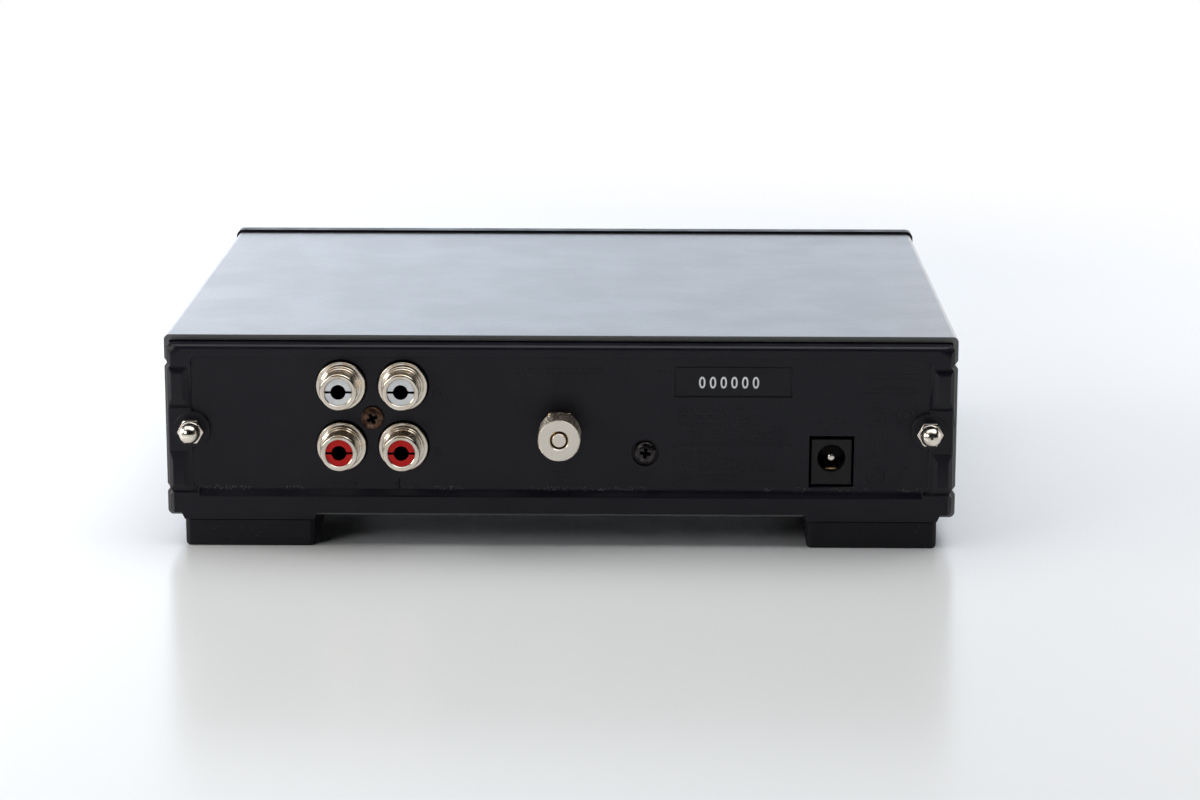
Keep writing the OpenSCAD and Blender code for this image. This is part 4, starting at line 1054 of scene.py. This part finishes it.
# ------------ number label
# A thin black label in a shallow recess of the panel, printed with six white
# digits, all of them zero.
label_edge = 0.03 * mm
digits = "000000"
digit_height = 2.7 * mm
capital_share = 0.729                  # height of a digit in a type of size 1
digit_squeeze = 0.84                   # the digits are narrower than the type's
digit_pitch = 2.42 * mm
digit_middle = 0.32                    # of a pitch, from a digit's left edge
digits_start = 31.3 * mm               # left edge of the digits, from the centre line
digits_foot = 37.1 * mm                # bottom of the digits, from the table
stroke_gain = 0.05 * mm                # how much bolder the strokes are
ink_half = 0.01 * mm                   # half the thickness of the print
ink_gap = 0.012 * mm                   # from the label to the middle of the print

label = rounded_copy("number_label", "serial_label", label_edge)
label_black = moulded_plastic("label_black", (0.0052, 0.0052, 0.0085), 0.45, 0.2 * mm, 0.003 * mm)
paint(label, label_black)
ink_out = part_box("serial_label")[1].y + ink_gap

print_white, tree, shader = new_material("print_white", (0.86, 0.86, 0.88), 0.5)
two_tones(tree, shader, noise(tree, 0.25 * mm, 3.0), (0.8, 0.8, 0.83), (0.92, 0.92, 0.94))
rear_facing = Matrix(((-1, 0, 0, 0), (0, 0, 1, 0), (0, 1, 0, 0), (0, 0, 0, 1)))
for number, digit in enumerate(digits):
    text = bpy.data.curves.new("digit", "FONT")
    text.body = digit
    text.align_x = "CENTER"
    text.size = digit_height / capital_share
    text.offset = stroke_gain
    text.extrude = ink_half
    glyph = in_scene("glyph", text)
    mesh = bpy.data.meshes.new_from_object(glyph)
    bpy.data.objects.remove(glyph)
    across = digits_start + (number + digit_middle) * digit_pitch
    spot = Vector((-across, ink_out, digits_foot))
    mesh.transform(Matrix.Translation(spot) @ rear_facing
                   @ Matrix.Diagonal((digit_squeeze, 1, 1, 1)))
    piece = in_scene("printed_digit_%d" % (number + 1), mesh)
    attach(piece, "case")
    paint(piece, print_white)


# ------------ power button
# A moulded cap in the front panel's dish, on a rod that pushes the switch on
# the board. Beside it a clear lens carries the light of a green lamp.
button_edge = 0.5 * mm
lens_low, lens_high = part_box("indicator_lens")
lens_len = lens_high.y - lens_low.y
lens_r = 1.5 * mm
lens_dome = 0.45 * mm

button_black = moulded_plastic("button_black", (0.011, 0.011, 0.012), 0.42, 0.25 * mm, 0.008 * mm)
button = rounded_copy("moulded_button", "power_button", button_edge, body="button")
paint(button, button_black)
finish_node("button_rod", socket_black)
ivory_plastic = insulator_plastic("ivory_plastic", (0.72, 0.68, 0.56))
finish_node("switch_plunger", ivory_plastic)
finish_node("switch_spring", zinc_steel)
finish_node("switch_body", tinned_steel)

clear_lens = grained("clear_lens", (0.86, 0.95, 0.88), 0.08, 0.6 * mm, 0.004 * mm,
                     Transmission_Weight=0.9)
lens_profile = [(0, lens_len), (lens_r, lens_len), (lens_r, lens_dome)]
for degrees in range(10, 90, 10):
    a = math.radians(degrees)
    lens_profile.append((lens_r * math.cos(a), lens_dome * (1 - math.sin(a))))
lens = turned("domed_lens", lens_profile + [(0, 0)], on_axis_of("indicator_lens", lens_low.y),
              steps=48, closed=False)
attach(lens, "case")
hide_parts("indicator_lens")
paint(lens, clear_lens)
lamp_green = grained("lamp_green", (0.2, 0.7, 0.25), 0.2, 0.6 * mm, 0.004 * mm,
                     Transmission_Weight=0.3)
finish_node("indicator_led", lamp_green)


# ------------ circuit board
# Green solder-masked glass fibre on four brass pillars. It carries the supply
# on the inlet's side and the two amplifier channels on the sockets' side.
track_pitch = 9 * mm
mask_over_copper = (0.012, 0.11, 0.04)
mask_between = (0.006, 0.06, 0.024)
band_pitch = 9 * mm
resistor_colour = (0.08, 0.24, 0.42)
band_colour = (0.2, 0.05, 0.02)

circuit_board, tree, shader = new_material("circuit_board", (0.01, 0.09, 0.035), 0.3)
tracks = add_node(tree, "TexBrick", Scale=1 / track_pitch, Mortar_Size=0.06)
tree.links.new(own_place(tree), tracks.inputs["Vector"])
two_tones(tree, shader, tracks.outputs["Fac"], mask_over_copper, mask_between)
bump(tree, shader, tracks.outputs["Fac"], 0.02 * mm)
finish_node("main_board", circuit_board)
finish_node("board_standoffs", brass)
finish_node("board_screws", zinc_steel)

capacitor_sleeve = grained("capacitor_sleeve", (0.012, 0.014, 0.02), 0.3, 2 * mm, 0.05 * mm)
capacitor_blue = grained("capacitor_blue", (0.02, 0.035, 0.1), 0.3, 2 * mm, 0.05 * mm)
film_red = grained("film_red", (0.35, 0.03, 0.02), 0.35, 1 * mm, 0.03 * mm)
chip_black = grained("chip_black", (0.012, 0.012, 0.013), 0.5, 0.2 * mm, 0.01 * mm)
sink_black = grained("sink_black", (0.015, 0.015, 0.016), 0.45, 0.5 * mm, 0.01 * mm,
                     Metallic=0.6)
board_parts = {
    "reservoir_capacitors": capacitor_sleeve, "coupling_capacitors": capacitor_blue,
    "film_capacitors": film_red, "amplifier_chips": chip_black, "transistors": chip_black,
    "regulators": chip_black, "rectifier_diodes": chip_black, "heat_sinks": sink_black,
    "heat_sink_screws": zinc_steel}
for node, material in board_parts.items():
    finish_node(node, material)

resistor_blue, tree, shader = new_material("resistor_blue", resistor_colour, 0.4)
bands = add_node(tree, "TexWave", Scale=1 / band_pitch, bands_direction="Y")
tree.links.new(own_place(tree), bands.inputs["Vector"])
band = smooth_range(tree, bands.outputs["Fac"], 0.8, 0.85)
two_tones(tree, shader, band, resistor_colour, band_colour)
finish_node("resistors", resistor_blue)
